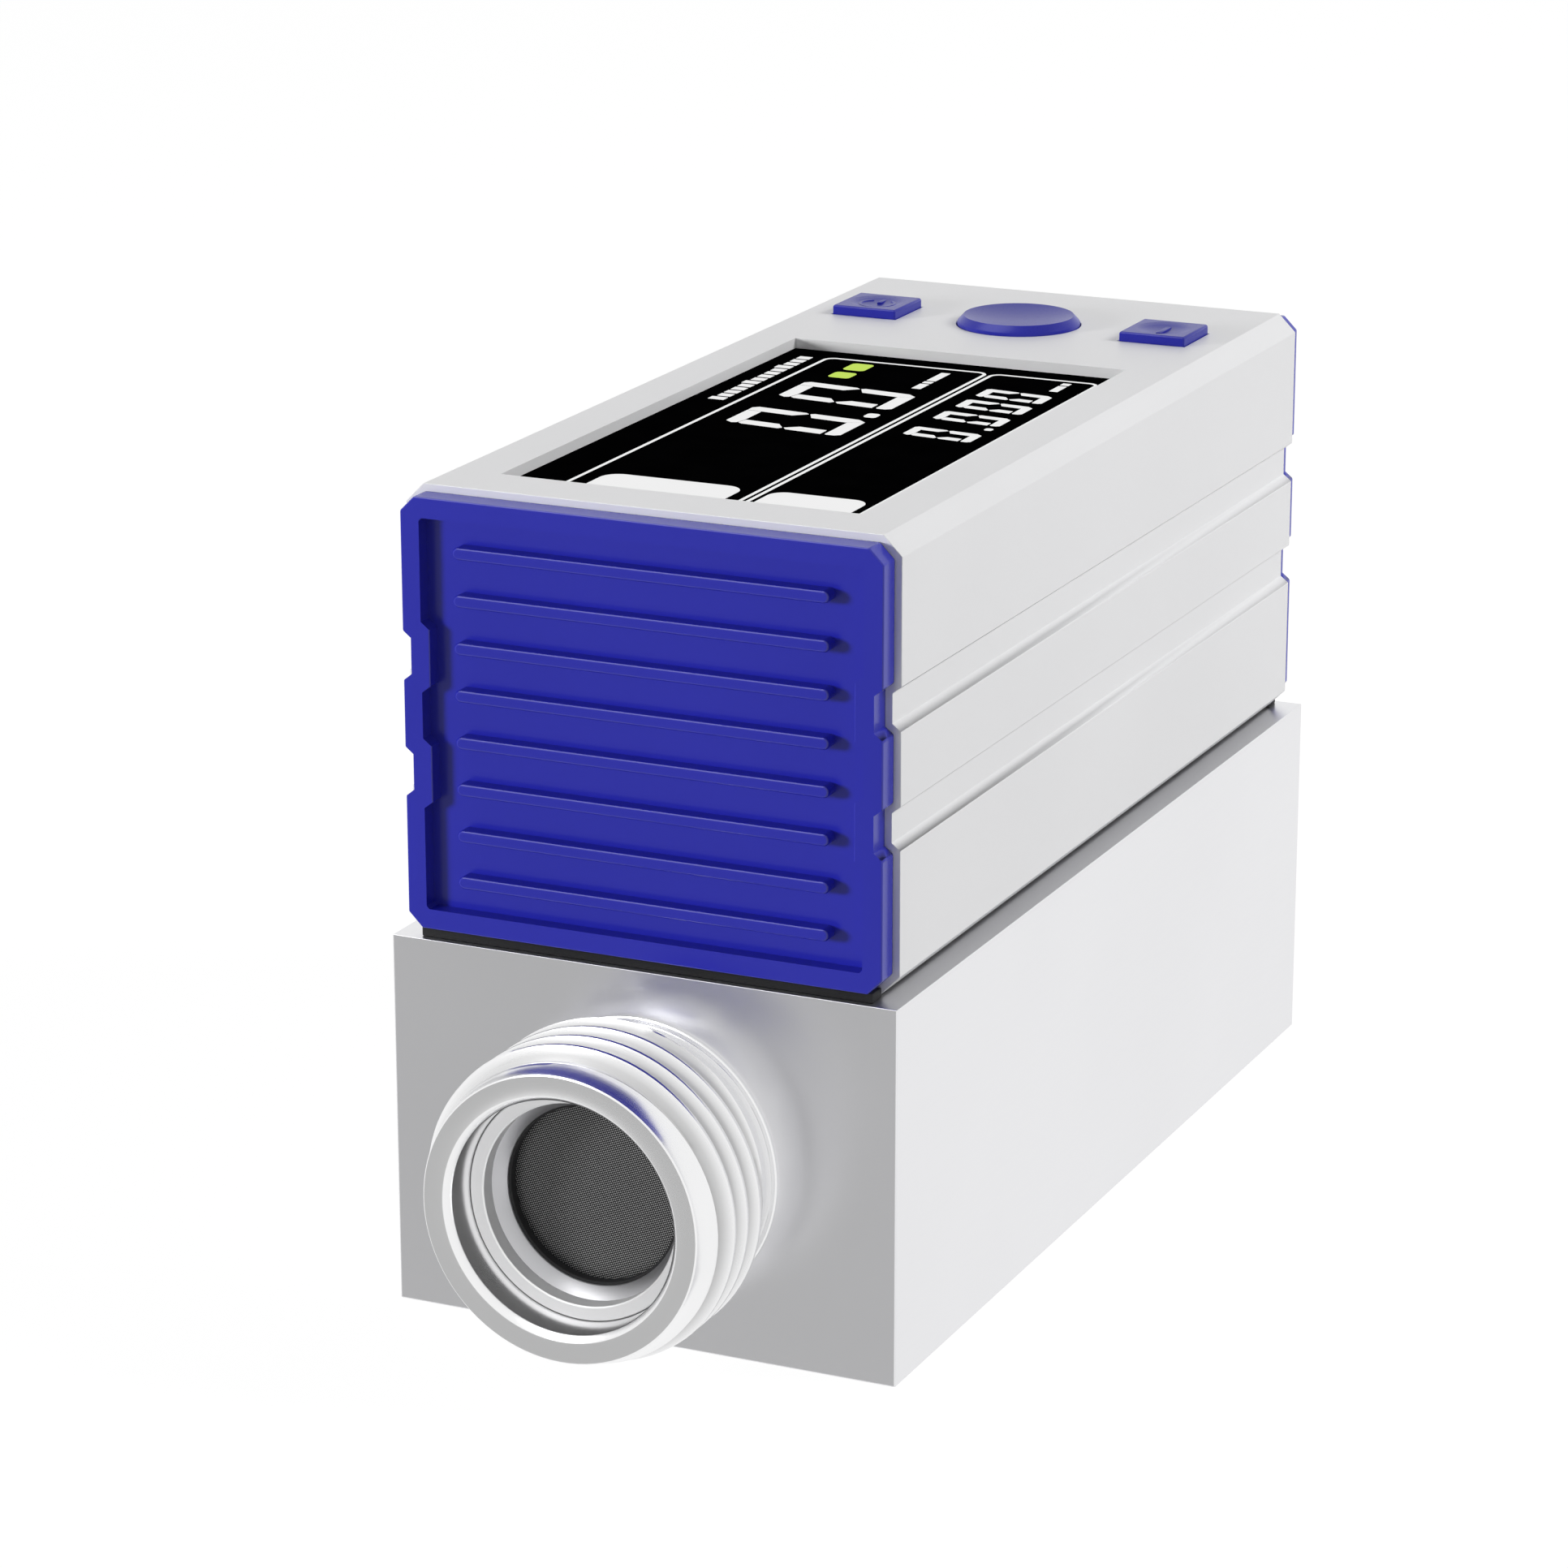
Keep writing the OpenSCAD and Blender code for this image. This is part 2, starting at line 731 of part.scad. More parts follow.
// Rib with round ends and rounded front edges, lying along X with its foot on the ground
module rib(length, thickness, height, round) {
    for (side = [-1, 1])
        translate([side * (length - thickness) / 2, 0, 0])
            rotate_extrude()
                intersection() {
                    rib_section(thickness, height, round);
                    square([thickness, height]);
                }
    translate([(thickness - length) / 2, 0, 0])
        rotate([90, 0, 90])
            linear_extrude(length - thickness)
                rib_section(thickness, height, round);
}

// Section across a rib, with its two front corners rounded
module rib_section(thickness, height, round) {
    translate([-thickness / 2, 0])
        square([thickness, height - round]);
    translate([round - thickness / 2, 0])
        square([thickness - 2 * round, height]);
    for (side = [-1, 1])
        translate([side * (thickness / 2 - round), height - round])
            circle(r = round);
}

// Face of an end cap with its rim, its recess and its ribs, looking along Y
module cap_face() {
    difference() {
        along_y(-cap_end, cap_t)
            housing_outline(cap_inset);
        along_y(-cap_end - over, cap_recess + over)
            housing_outline(cap_inset + cap_rim);
    }
    for (i = [0 : rib_count - 1])
        translate([0, -cap_floor, (i - (rib_count - 1) / 2) * rib_pitch])
            rotate([90, 0, 0])
                rib(rib_l, rib_t, cap_recess, rib_round);
}

// Hollow plug of an end cap with the groove for its seal
module cap_plug() {
    difference() {
        along_y(-housing_end, plug_l)
            housing_outline(wall + plug_gap);
        along_y(-housing_end - over, plug_l + 2 * over)
            housing_outline(wall + plug_gap + plug_wall);
        difference() {
            along_y(-cap_seal_at - cap_seal_t / 2, cap_seal_t)
                housing_outline(0);
            along_y(-cap_seal_at - cap_seal_t, 2 * cap_seal_t)
                housing_outline(wall + plug_gap + cap_seal_depth);
        }
    }
}

// Seal round an end cap's plug
module cap_seal() {
    color("black")
        translate([0, 0, housing_mid])
            difference() {
                along_y(-cap_seal_at - cap_seal_t / 2 + fit, cap_seal_t - 2 * fit)
                    housing_outline(wall + fit / 2);
                along_y(-cap_seal_at - cap_seal_t, 2 * cap_seal_t)
                    housing_outline(wall + plug_gap + cap_seal_depth - fit);
            }
}

// Plain ribbed cap over the front end
module front_cap() {
    color("#3838a8")
        translate([0, 0, housing_mid]) {
            cap_face();
            cap_plug();
        }
}

// Ribbed cap over the rear end, with a round pad for the socket
module rear_cap() {
    color("#3838a8")
        difference() {
            mirror([0, 1, 0])
                translate([0, 0, housing_mid]) {
                    difference() {
                        cap_face();
                        along_y(-cap_end - over, cap_recess + over)
                            circle(d = socket_flange_d + 2 * (pad_margin + rib_gap));
                    }
                    along_y(-cap_end, cap_t)
                        circle(d = socket_flange_d + 2 * pad_margin);
                    cap_plug();
                }
            on_socket()
                translate([0, 0, -cap_t - over])
                    cylinder(d = socket_d + 2 * socket_gap, h = cap_t + 2 * over);
        }
}

// Threaded shell of the round socket
module socket_shell() {
    color("silver") {
        rotate_extrude()
            difference() {
                polygon([
                    [socket_bore_d / 2, -socket_tail_l],
                    [socket_d / 2, -socket_tail_l],
                    [socket_d / 2, 0],
                    [socket_flange_d / 2, 0],
                    [socket_flange_d / 2, socket_flange_t],
                    [socket_d / 2, socket_flange_t],
                    [socket_d / 2, socket_end - socket_lead],
                    [socket_d / 2 - socket_lead, socket_end],
                    [socket_bore_d / 2, socket_end]
                ]);
                translate([socket_seal_d / 2, 0])
                    square([socket_cord + 2 * fit, 2 * (socket_cord + fit)], center = true);
            }
        translate([-coding_w / 2, socket_bore_d / 2 - coding_h, socket_flange_t])
            cube([coding_w, coding_h + fit, socket_l - contact_below_mouth]);
    }
}

// Sealing ring under the socket's flange
module socket_seal() {
    color("black")
        translate([0, 0, socket_cord / 2 + fit / 2])
            rotate_extrude()
                translate([socket_seal_d / 2, 0])
                    circle(d = socket_cord);
}

// Insulator that holds the socket's contacts
module socket_insert() {
    color("black")
        difference() {
            translate([0, 0, -socket_tail_l])
                cylinder(d = socket_bore_d - 2 * fit, h = socket_tail_l + socket_flange_t);
            contact_places()
                translate([0, 0, -socket_tail_l - over])
                    cylinder(d = contact_d + 2 * fit, h = socket_tail_l + socket_flange_t + 2 * over);
        }
}

// Children at each contact of the socket
module contact_places() {
    for (i = [0 : contact_count - 1])
        rotate([0, 0, (i + 0.5) * 360 / contact_count])
            translate([contact_circle_d / 2, 0, 0])
                children();
}

// Contact pins of the socket
module socket_contacts() {
    color("gold")
        contact_places()
            translate([0, 0, -socket_tail_l - contact_tail])
                cylinder(d = contact_d, h = socket_tail_l + contact_tail + socket_end - contact_below_mouth);
}

// Nut that clamps the socket from inside the cap
module socket_nut() {
    color("silver")
        translate([0, 0, -cap_t - socket_nut_t])
            difference() {
                cylinder(d = socket_nut_w / cos(30), h = socket_nut_t, $fn = 6);
                translate([0, 0, -over])
                    cylinder(d = socket_d + 2 * fit, h = socket_nut_t + 2 * over);
            }
}

// Black window behind the housing's lip
module display_window() {
    color("black")
        translate([-window_w / 2, display_y - window_l / 2, window_low])
            cube([window_w, window_l, window_top - window_low]);
}

// Display panel under the window
module display_panel() {
    color("dimgray")
        translate([-panel_w / 2, display_y - panel_l / 2, window_low - panel_t])
            cube([panel_w, panel_l, panel_t]);
}

// Frame that holds the display panel against the window
module display_frame() {
    color("black")
        difference() {
            translate([-frame_w / 2, display_y - frame_l / 2, board_top])
                cube([frame_w, frame_l, ceiling_z - board_top]);
            translate([-panel_w / 2 - fit, display_y - panel_l / 2 - fit, window_low - panel_t])
                cube([panel_w + 2 * fit, panel_l + 2 * fit, panel_t + over]);
            translate([frame_ledge - panel_w / 2, display_y - panel_l / 2 + frame_ledge, board_top - over])
                cube([panel_w - 2 * frame_ledge, panel_l - 2 * frame_ledge, panel_room + 2 * over]);
            for (number = [1 : 4])
                translate([corner_side(number)[0] * standoff_x, corner_side(number)[1] * standoff_y,
                    board_top - over])
                    cylinder(d = board_screw_head_d + 2 * frame_lift, h = board_screw_head_h + frame_lift + over);
        }
}

// Main board on its four standoffs
module main_board() {
    color("darkgreen")
        translate([0, 0, board_low])
            linear_extrude(board_t)
                difference() {
                    square([board_w, board_l], center = true);
                    for (number = [1 : 4])
                        translate([corner_side(number)[0] * standoff_x, corner_side(number)[1] * standoff_y])
                            circle(d = board_screw_d + 2 * screw_clearance);
                }
}

// Processor on the underside of the main board
module processor() {
    color("black")
        translate([-chip_w / 2, -chip_y - chip_w / 2, board_low - chip_body_t])
            cube([chip_w, chip_w, chip_body_t]);
}

// Coil of the supply on the underside of the main board
module supply_coil() {
    color("dimgray")
        translate([0, chip_y, board_low - coil_h])
            cylinder(d = coil_d, h = coil_h);
}

// Hexagonal standoff between the housing's floor and the main board
module standoff(number) {
    color("gold")
        translate([corner_side(number)[0] * standoff_x, corner_side(number)[1] * standoff_y, 0])
            difference() {
                union() {
                    translate([0, 0, floor_z])
                        linear_extrude(board_low - floor_z)
                            circle(d = standoff_d, $fn = 6);
                    translate([0, 0, housing_z + fit])
                        cylinder(d = stud_d, h = wall);
                }
                translate([0, 0, board_low - board_screw_l])
                    cylinder(d = board_screw_d + 2 * fit, h = board_screw_l + over);
            }
}

// Screw that holds the main board on a standoff
module board_screw(number) {
    color("silver")
        translate([corner_side(number)[0] * standoff_x, corner_side(number)[1] * standoff_y, board_top])
            screw(board_screw_head_d, board_screw_head_h, board_screw_d, board_screw_l);
}

// Push switch under a key
module switch_base(side) {
    color("dimgray")
        translate([side * key_spacing, key_y, board_top])
            difference() {
                translate([-switch_w / 2, -switch_w / 2, 0])
                    cube([switch_w, switch_w, switch_top - board_top]);
                translate([0, 0, key_flange_z - plunger_l - key_travel - plunger_room - board_top])
                    cylinder(r = plunger_d / 2 + plunger_gap, h = switch_top - board_top);
            }
}

// Plunger of a switch, pressed by its key
module plunger(side) {
    color("black")
        translate([side * key_spacing, key_y, key_flange_z - plunger_l])
            cylinder(d = plunger_d, h = plunger_l);
}

// Square key with a finger dish and a flange under the housing's wall
module square_key(side) {
    dish_r = (dish_d * dish_d / 4 + dish_depth * dish_depth) / 2 / dish_depth;
    color("#3838a8")
        translate([side * key_spacing, key_y, 0])
            difference() {
                union() {
                    translate([-key_w / 2 - key_flange, -key_w / 2 - key_flange, key_flange_z])
                        cube([key_w + 2 * key_flange, key_w + 2 * key_flange, key_flange_t]);
                    translate([0, 0, key_flange_z])
                        chamfered_block(key_w, key_w, key_top - key_flange_z, key_edge);
                }
                translate([0, 0, key_top + dish_r - dish_depth])
                    sphere(r = dish_r, $fn = 128);
            }
}

// Round key with a conical edge and a wide finger dish
module round_key() {
    dish_r = (round_rim_r * round_rim_r + round_dish_depth * round_dish_depth) / 2 / round_dish_depth;
    color("#3838a8")
        translate([0, key_y, 0])
            difference() {
                rotate_extrude()
                    polygon([
                        [0, key_flange_z],
                        [round_key_r + key_flange, key_flange_z],
                        [round_key_r + key_flange, key_flange_z + key_flange_t],
                        [round_key_r, key_flange_z + key_flange_t],
                        [round_key_r, housing_top + round_edge_h],
                        [round_rim_r, key_top],
                        [0, key_top]
                    ]);
                translate([0, 0, key_top + dish_r - round_dish_depth])
                    sphere(r = dish_r, $fn = 128);
            }
}

flow_block();
on_inlet() port_body();  // inlet_port
on_inlet() port_seal();  // inlet_port_seal
on_inlet() screen_ring();  // inlet_screen_ring
on_inlet() screen_gasket();  // inlet_screen_gasket
on_inlet() screen();  // inlet_screen
on_outlet() port_body();  // outlet_port
on_outlet() port_seal();  // outlet_port_seal
on_outlet() screen_ring();  // outlet_screen_ring
on_outlet() screen_gasket();  // outlet_screen_gasket
on_outlet() screen();  // outlet_screen
flow_straightener();
sensor_carrier();
sensor_seal();
sensor_chip();
sensor_board();
sensor_ribbon();
sensor_screw(-1);  // sensor_screw_left
sensor_screw(1);  // sensor_screw_right
base_gasket();
housing();
housing_screw(1);  // housing_screw_1
housing_screw(2);  // housing_screw_2
housing_screw(3);  // housing_screw_3
housing_screw(4);  // housing_screw_4
front_cap();
cap_seal();  // front_cap_seal
rear_cap();
mirror([0, 1, 0]) cap_seal();  // rear_cap_seal
display_window();
display_panel();
display_frame();
main_board();
processor();
supply_coil();
standoff(1);  // standoff_1
standoff(2);  // standoff_2
standoff(3);  // standoff_3
standoff(4);  // standoff_4
board_screw(1);  // board_screw_1
board_screw(2);  // board_screw_2
board_screw(3);  // board_screw_3
board_screw(4);  // board_screw_4
switch_base(-1);  // switch_left
switch_base(0);  // switch_middle
switch_base(1);  // switch_right
on_socket() socket_shell();
on_socket() socket_seal();
on_socket() socket_insert();
on_socket() socket_contacts();
on_socket() socket_nut();
square_key(-1);  // key_left
plunger(-1);  // plunger_left
round_key();  // key_middle
plunger(0);  // plunger_middle
square_key(1);  // key_right
plunger(1);  // plunger_right
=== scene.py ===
# %% [markdown]
# # A thermal mass flow meter
# A gas flows through the square metal block at the bottom, a heated chip in the stream measures its mass
# flow, and the housing on top shows the reading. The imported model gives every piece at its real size, in
# metres. This script gives each piece the finish of the real one, and models the pieces again where a
# turned, threaded or rounded surface needs more than the solid has.

# %% The frame
import json
import math

import bmesh
import bpy
from mathutils import Matrix, Vector


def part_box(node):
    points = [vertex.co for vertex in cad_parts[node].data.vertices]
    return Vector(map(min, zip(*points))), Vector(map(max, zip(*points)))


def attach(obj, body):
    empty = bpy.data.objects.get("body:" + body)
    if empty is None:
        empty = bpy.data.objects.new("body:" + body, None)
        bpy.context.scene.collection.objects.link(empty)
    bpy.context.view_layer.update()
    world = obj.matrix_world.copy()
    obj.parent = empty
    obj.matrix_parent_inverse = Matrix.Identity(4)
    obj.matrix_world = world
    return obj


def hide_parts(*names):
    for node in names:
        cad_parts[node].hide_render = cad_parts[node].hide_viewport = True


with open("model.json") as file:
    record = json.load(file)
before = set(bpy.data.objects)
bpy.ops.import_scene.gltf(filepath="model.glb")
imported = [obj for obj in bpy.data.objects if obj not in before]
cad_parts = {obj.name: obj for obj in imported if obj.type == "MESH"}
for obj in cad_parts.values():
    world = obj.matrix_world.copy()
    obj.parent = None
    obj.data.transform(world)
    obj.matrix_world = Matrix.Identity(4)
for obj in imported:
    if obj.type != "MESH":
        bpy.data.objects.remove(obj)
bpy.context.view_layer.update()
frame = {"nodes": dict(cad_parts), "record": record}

# %% [markdown]
# Lengths are written in millimetres and turned into metres by one factor. Only the floor, the grey card and
# the camera's clipping are given in metres. The sizes that a piece shares with the solids are read from the
# solids' boxes, so nothing has to be fitted twice.

# %% Sizes read from the solids
MM = 0.001
BODY = "meter"


def box_mm(node):
    low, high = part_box(node)
    return Vector(low) / MM, Vector(high) / MM


block_low, block_high = box_mm("flow_block")
port_low, port_high = box_mm("inlet_port")
housing_low, housing_high = box_mm("housing")
window_low, window_high = box_mm("display_window")
flow_z = (port_low.z + port_high.z) / 2
port_front = port_low.y
print("flow axis at", round(flow_z, 3), "mm, end of the inlet at", round(port_front, 3), "mm")

# %% [markdown]
# ## Camera
# The photograph was taken from the front right, a little above the display, with a long lens. The camera's
# place and direction were solved from the straight edges of the block and the housing, so the render lies
# on the photograph edge for edge. The lens has no shift and no depth of field.

# %% Camera
camera_place = Vector((137.415, -313.70, 131.501)) * MM
camera_forward = Vector((-0.40024656, 0.86852589, -0.2923448)).normalized()
camera_right = Vector((0.908274879, 0.418373545, -0.000566585)).normalized()
camera_up = camera_right.cross(camera_forward)
camera_data = bpy.data.cameras.new("camera")
camera_data.sensor_width = 36.0
camera_data.lens = 120.42
camera_data.clip_start = 0.01
camera_data.clip_end = 50.0
camera = bpy.data.objects.new("camera", camera_data)
camera_turn = Matrix((camera_right, camera_up, -camera_forward)).transposed()
camera.matrix_world = Matrix.Translation(camera_place) @ camera_turn.to_4x4()
bpy.context.scene.collection.objects.link(camera)
bpy.context.scene.camera = camera
bpy.context.scene.view_settings.view_transform = "Standard"
print("camera at", [round(value / MM, 1) for value in camera_place], "mm")

# %% [markdown]
# ## Light and floor
# A product picture on white needs light on every side, and a difference between the sides. An even sky
# fills them all. It is white where the camera looks at it, directly, in a reflection or through a clear
# piece, and weaker for the light that it throws, so the white background adds no light to the object.

# %% Helpers for shader nodes


def calculated(tree, operation, first, second=None):
    """Result of one calculation with plain numbers or with what other nodes give."""
    node = tree.nodes.new("ShaderNodeMath")
    node.operation = operation
    for socket, value in zip(node.inputs, (first, second)):
        if isinstance(value, bpy.types.NodeSocket):
            tree.links.new(value, socket)
        elif value is not None:
            socket.default_value = value
    return node.outputs[0]


def white_glow(tree, kind, strength):
    """A white sky or a white glowing surface of one strength."""
    glow = tree.nodes.new(kind)
    glow.inputs["Color"].default_value = (1.0, 1.0, 1.0, 1.0)
    glow.inputs["Strength"].default_value = strength
    return glow.outputs[0]


def mixed_shader(tree, share, first, second):
    """Two shaders in one, the second by its share."""
    mix = tree.nodes.new("ShaderNodeMixShader")
    tree.links.new(share, mix.inputs["Fac"])
    tree.links.new(first, mix.inputs[1])
    tree.links.new(second, mix.inputs[2])
    return mix.outputs[0]


print("shader helpers ready")

# %% World
SKY_LIGHT = 0.25
SKY_WHITE = 1.0
world = bpy.data.worlds.new("studio")
world.use_nodes = True
bpy.context.scene.world = world
sky = world.node_tree
sky.nodes.clear()
sky_output = sky.nodes.new("ShaderNodeOutputWorld")
sky_path = sky.nodes.new("ShaderNodeLightPath")
sky_seen = calculated(sky, "MAXIMUM", sky_path.outputs["Is Camera Ray"], sky_path.outputs["Is Glossy Ray"])
sky_seen_or_through = calculated(sky, "MAXIMUM", sky_seen, sky_path.outputs["Is Transmission Ray"])
sky_light = white_glow(sky, "ShaderNodeBackground", SKY_LIGHT)
sky_white = white_glow(sky, "ShaderNodeBackground", SKY_WHITE)
sky.links.new(mixed_shader(sky, sky_seen_or_through, sky_light, sky_white), sky_output.inputs["Surface"])
print("sky light", SKY_LIGHT)

# %% [markdown]
# The lamps make the difference between the sides. The key light stands at the front left, nearly level with
# the object, and brings out the ribs of the cap. A panel high on the right lights the long side, its grooves
# and the chamfer above them, and a weak one behind lifts the back. The last panel gives the shiny surfaces
# something bright to mirror, and throws no light on plain ones.

# %% Lamps
AIM_POINT = Vector((0.0, 0.0, 30.0))


def panel_light(name, side, distance, size, watts):
    """A square lamp on one side of the object, facing its middle."""
    lamp = bpy.data.lights.new(name, "AREA")
    lamp.shape = "SQUARE"
    lamp.size = size * MM
    lamp.energy = watts
    light = bpy.data.objects.new(name, lamp)
    away = Vector(side).normalized()
    light.location = (AIM_POINT + away * distance) * MM
    light.rotation_euler = (-away).to_track_quat("-Z", "Y").to_euler()
    bpy.context.scene.collection.objects.link(light)
    return light


key_light = panel_light("key_light", (-0.69, -0.71, 0.15), 860.0, 160.0, 6.1)
side_panel = panel_light("side_panel", (0.80, 0.26, 0.54), 700.0, 250.0, 3.15)
back_panel = panel_light("back_panel", (0.31, 0.78, 0.54), 760.0, 420.0, 0.3)
gloss_panel = panel_light("gloss_panel", (-0.40, -0.29, 0.868), 600.0, 420.0, 1.5)
for panel in (key_light, side_panel, back_panel):
    panel.visible_glossy = False
gloss_panel.visible_diffuse = False

# %% [markdown]
# The floor is a plain pale sheet. Its white comes from its own glow, which only the camera sees, mixed with
# a plain surface that keeps the object's shadow. Reflections look past the floor at the white world, so the
# metal shows the same white as the picture's background.

# %% Floor
FLOOR_GLOW = 1.20
FLOOR_GLOW_SHARE = 0.80
FLOOR_GREY = (0.40, 0.40, 0.40, 1.0)
FLOOR_HALF_SIDE = 4.0


def bare_material(name):
    """A material with nothing but its output, its node tree, and the socket for its surface."""
    material = bpy.data.materials.new(name)
    material.use_nodes = True
    material.node_tree.nodes.clear()
    output = material.node_tree.nodes.new("ShaderNodeOutputMaterial")
    return material, material.node_tree, output.inputs["Surface"]


def studio_sheet(name, mesh, paint):
    """A flat sheet that belongs to the studio."""
    data = bpy.data.meshes.new(name)
    mesh.to_mesh(data)
    mesh.free()
    data.materials.append(paint)
    sheet = bpy.data.objects.new(name, data)
    bpy.context.scene.collection.objects.link(sheet)
    return sheet


floor_paint, floor_tree, floor_surface = bare_material("floor_paint")
floor_plain = floor_tree.nodes.new("ShaderNodeBsdfDiffuse")
floor_plain.inputs["Color"].default_value = FLOOR_GREY
floor_path = floor_tree.nodes.new("ShaderNodeLightPath")
floor_share = calculated(floor_tree, "MULTIPLY", floor_path.outputs["Is Camera Ray"], FLOOR_GLOW_SHARE)
floor_glow = white_glow(floor_tree, "ShaderNodeEmission", FLOOR_GLOW)
floor_shader = mixed_shader(floor_tree, floor_share, floor_plain.outputs[0], floor_glow)
floor_tree.links.new(floor_shader, floor_surface)
floor_mesh = bmesh.new()
bmesh.ops.create_grid(floor_mesh, x_segments=1, y_segments=1, size=FLOOR_HALF_SIDE)
floor = studio_sheet("floor", floor_mesh, floor_paint)
floor.visible_glossy = False
print("floor", tuple(round(side, 2) for side in floor.dimensions), "m")

# %% [markdown]
# Bright metal that mirrors nothing but white looks like paper. A photographer stands a grey card where the
# end faces mirror it. Here it is far away, below and in front of the object, so that each flat face shows
# one even grey, and the round sides of the port, which look past the card, stay white. Only reflections see
# the card.

# %% Grey card
CARD_GLOW = 0.52
CARD_DISTANCE = 1.5
CARD_SHAPE = (1.0, 0.95, 1.0)
card_side = Vector((-0.40, -0.87, -0.12)).normalized()
card_mesh = bmesh.new()
bmesh.ops.create_grid(card_mesh, x_segments=1, y_segments=1, size=1.0)
bmesh.ops.scale(card_mesh, verts=card_mesh.verts, vec=CARD_SHAPE)
bmesh.ops.rotate(card_mesh, verts=card_mesh.verts, cent=(0.0, 0.0, 0.0),
                 matrix=card_side.to_track_quat("Z", "Y").to_matrix())
bmesh.ops.translate(card_mesh, verts=card_mesh.verts, vec=card_side * CARD_DISTANCE)
card_paint, card_tree, card_surface = bare_material("card_paint")
card_tree.links.new(white_glow(card_tree, "ShaderNodeEmission", CARD_GLOW), card_surface)
card = studio_sheet("grey_card", card_mesh, card_paint)
for kind_of_ray in ("visible_camera", "visible_diffuse", "visible_transmission", "visible_shadow"):
    setattr(card, kind_of_ray, False)
print("card", CARD_DISTANCE, "m away")

# %% [markdown]
# ## Finishes
# Every finish starts from one shader with a grain on top of it: a noise in the object's own coordinates
# that changes the roughness a little and lifts the surface by a few thousandths of a millimetre. What sets
# the finishes apart is the grain's size and direction: round for blasted or moulded surfaces, stretched
# for ground ones, and rings about the axis for turned ones.

# %% Grain


def place_of_grain(tree, stretch=(1.0, 1.0, 1.0), offset=(0.0, 0.0, 0.0), turn_y=0.0):
    """Object coordinates, stretched, turned about Y and moved."""
    place = tree.nodes.new("ShaderNodeTexCoord")
    turn = tree.nodes.new("ShaderNodeMapping")
    turn.inputs["Scale"].default_value = stretch
    turn.inputs["Rotation"].default_value = (0.0, turn_y, 0.0)
    turn.inputs["Location"].default_value = offset
    tree.links.new(place.outputs["Object"], turn.inputs["Vector"])
    return turn.outputs["Vector"]


def place_of_rings(tree, centre_z):
    """Distance from a turning axis along Y, and the place along it, so a noise becomes lathe rings."""
    flat = place_of_grain(tree, (1.0, 0.0, 1.0), (0.0, 0.0, -centre_z * MM))
    whole = place_of_grain(tree)
    distance = tree.nodes.new("ShaderNodeVectorMath")
    distance.operation = "LENGTH"
    parts = tree.nodes.new("ShaderNodeSeparateXYZ")
    join = tree.nodes.new("ShaderNodeCombineXYZ")
    tree.links.new(flat, distance.inputs[0])
    tree.links.new(whole, parts.inputs[0])
    tree.links.new(distance.outputs["Value"], join.inputs["X"])
    tree.links.new(parts.outputs["Y"], join.inputs["Y"])
    return join.outputs["Vector"]


def noise_at(tree, vector, size_mm, detail=2.0):
    noise = tree.nodes.new("ShaderNodeTexNoise")
    noise.inputs["Scale"].default_value = 1.0 / (size_mm * MM)
    noise.inputs["Detail"].default_value = detail
    tree.links.new(vector, noise.inputs["Vector"])
    return noise.outputs["Fac"]


def spread(tree, factor, low, high):
    """Turns a noise from nought to one into a value from low to high."""
    span = tree.nodes.new("ShaderNodeMapRange")
    span.inputs["From Min"].default_value = 0.3
    span.inputs["From Max"].default_value = 0.7
    span.inputs["To Min"].default_value = low
    span.inputs["To Max"].default_value = high
    tree.links.new(factor, span.inputs["Value"])
    return span.outputs["Result"]


def tint(tree, factor, darker, lighter, start=0.3, end=0.7):
    """Colour between two shades, led by a value that runs from start to end."""
    ramp = tree.nodes.new("ShaderNodeValToRGB")
    for element, place, shade in zip(ramp.color_ramp.elements, (start, end), (darker, lighter)):
        element.position = place
        element.color = (*shade, 1.0)
    tree.links.new(factor, ramp.inputs["Fac"])
    return ramp.outputs["Color"]


def raise_by(tree, height, depth_mm, strength):
    bump = tree.nodes.new("ShaderNodeBump")
    bump.inputs["Distance"].default_value = depth_mm * MM
    bump.inputs["Strength"].default_value = strength
    tree.links.new(height, bump.inputs["Height"])
    return bump.outputs["Normal"]


def new_material(name):
    """A material, its node tree, and the inputs of its shader."""
    material = bpy.data.materials.new(name)
    material.use_nodes = True
    return material, material.node_tree, material.node_tree.nodes["Principled BSDF"].inputs


def set_mirroring(material, level):
    """How strongly a plain surface mirrors what it faces."""
    material.node_tree.nodes["Principled BSDF"].inputs["Specular IOR Level"].default_value = level


def finish(name, darker, lighter, metallic, roughness, grain_mm, depth_mm, rings_z=None,
           stretch=(1.0, 1.0, 1.0), cloud_mm=9.0, rough_swing=0.05, bump_strength=0.35):
    """One finish: a near even colour with clouds in it, a grain, and a small swing of the gloss."""
    material, tree, inputs = new_material(name)
    inputs["Metallic"].default_value = metallic
    grain_place = place_of_grain(tree, stretch) if rings_z is None else place_of_rings(tree, rings_z)
    clouds = noise_at(tree, place_of_grain(tree), cloud_mm)
    grain = noise_at(tree, grain_place, grain_mm)
    gloss = spread(tree, grain, roughness - rough_swing, roughness + rough_swing)
    tree.links.new(tint(tree, clouds, darker, lighter), inputs["Base Color"])
    tree.links.new(gloss, inputs["Roughness"])
    tree.links.new(raise_by(tree, grain, depth_mm, bump_strength), inputs["Normal"])
    return material


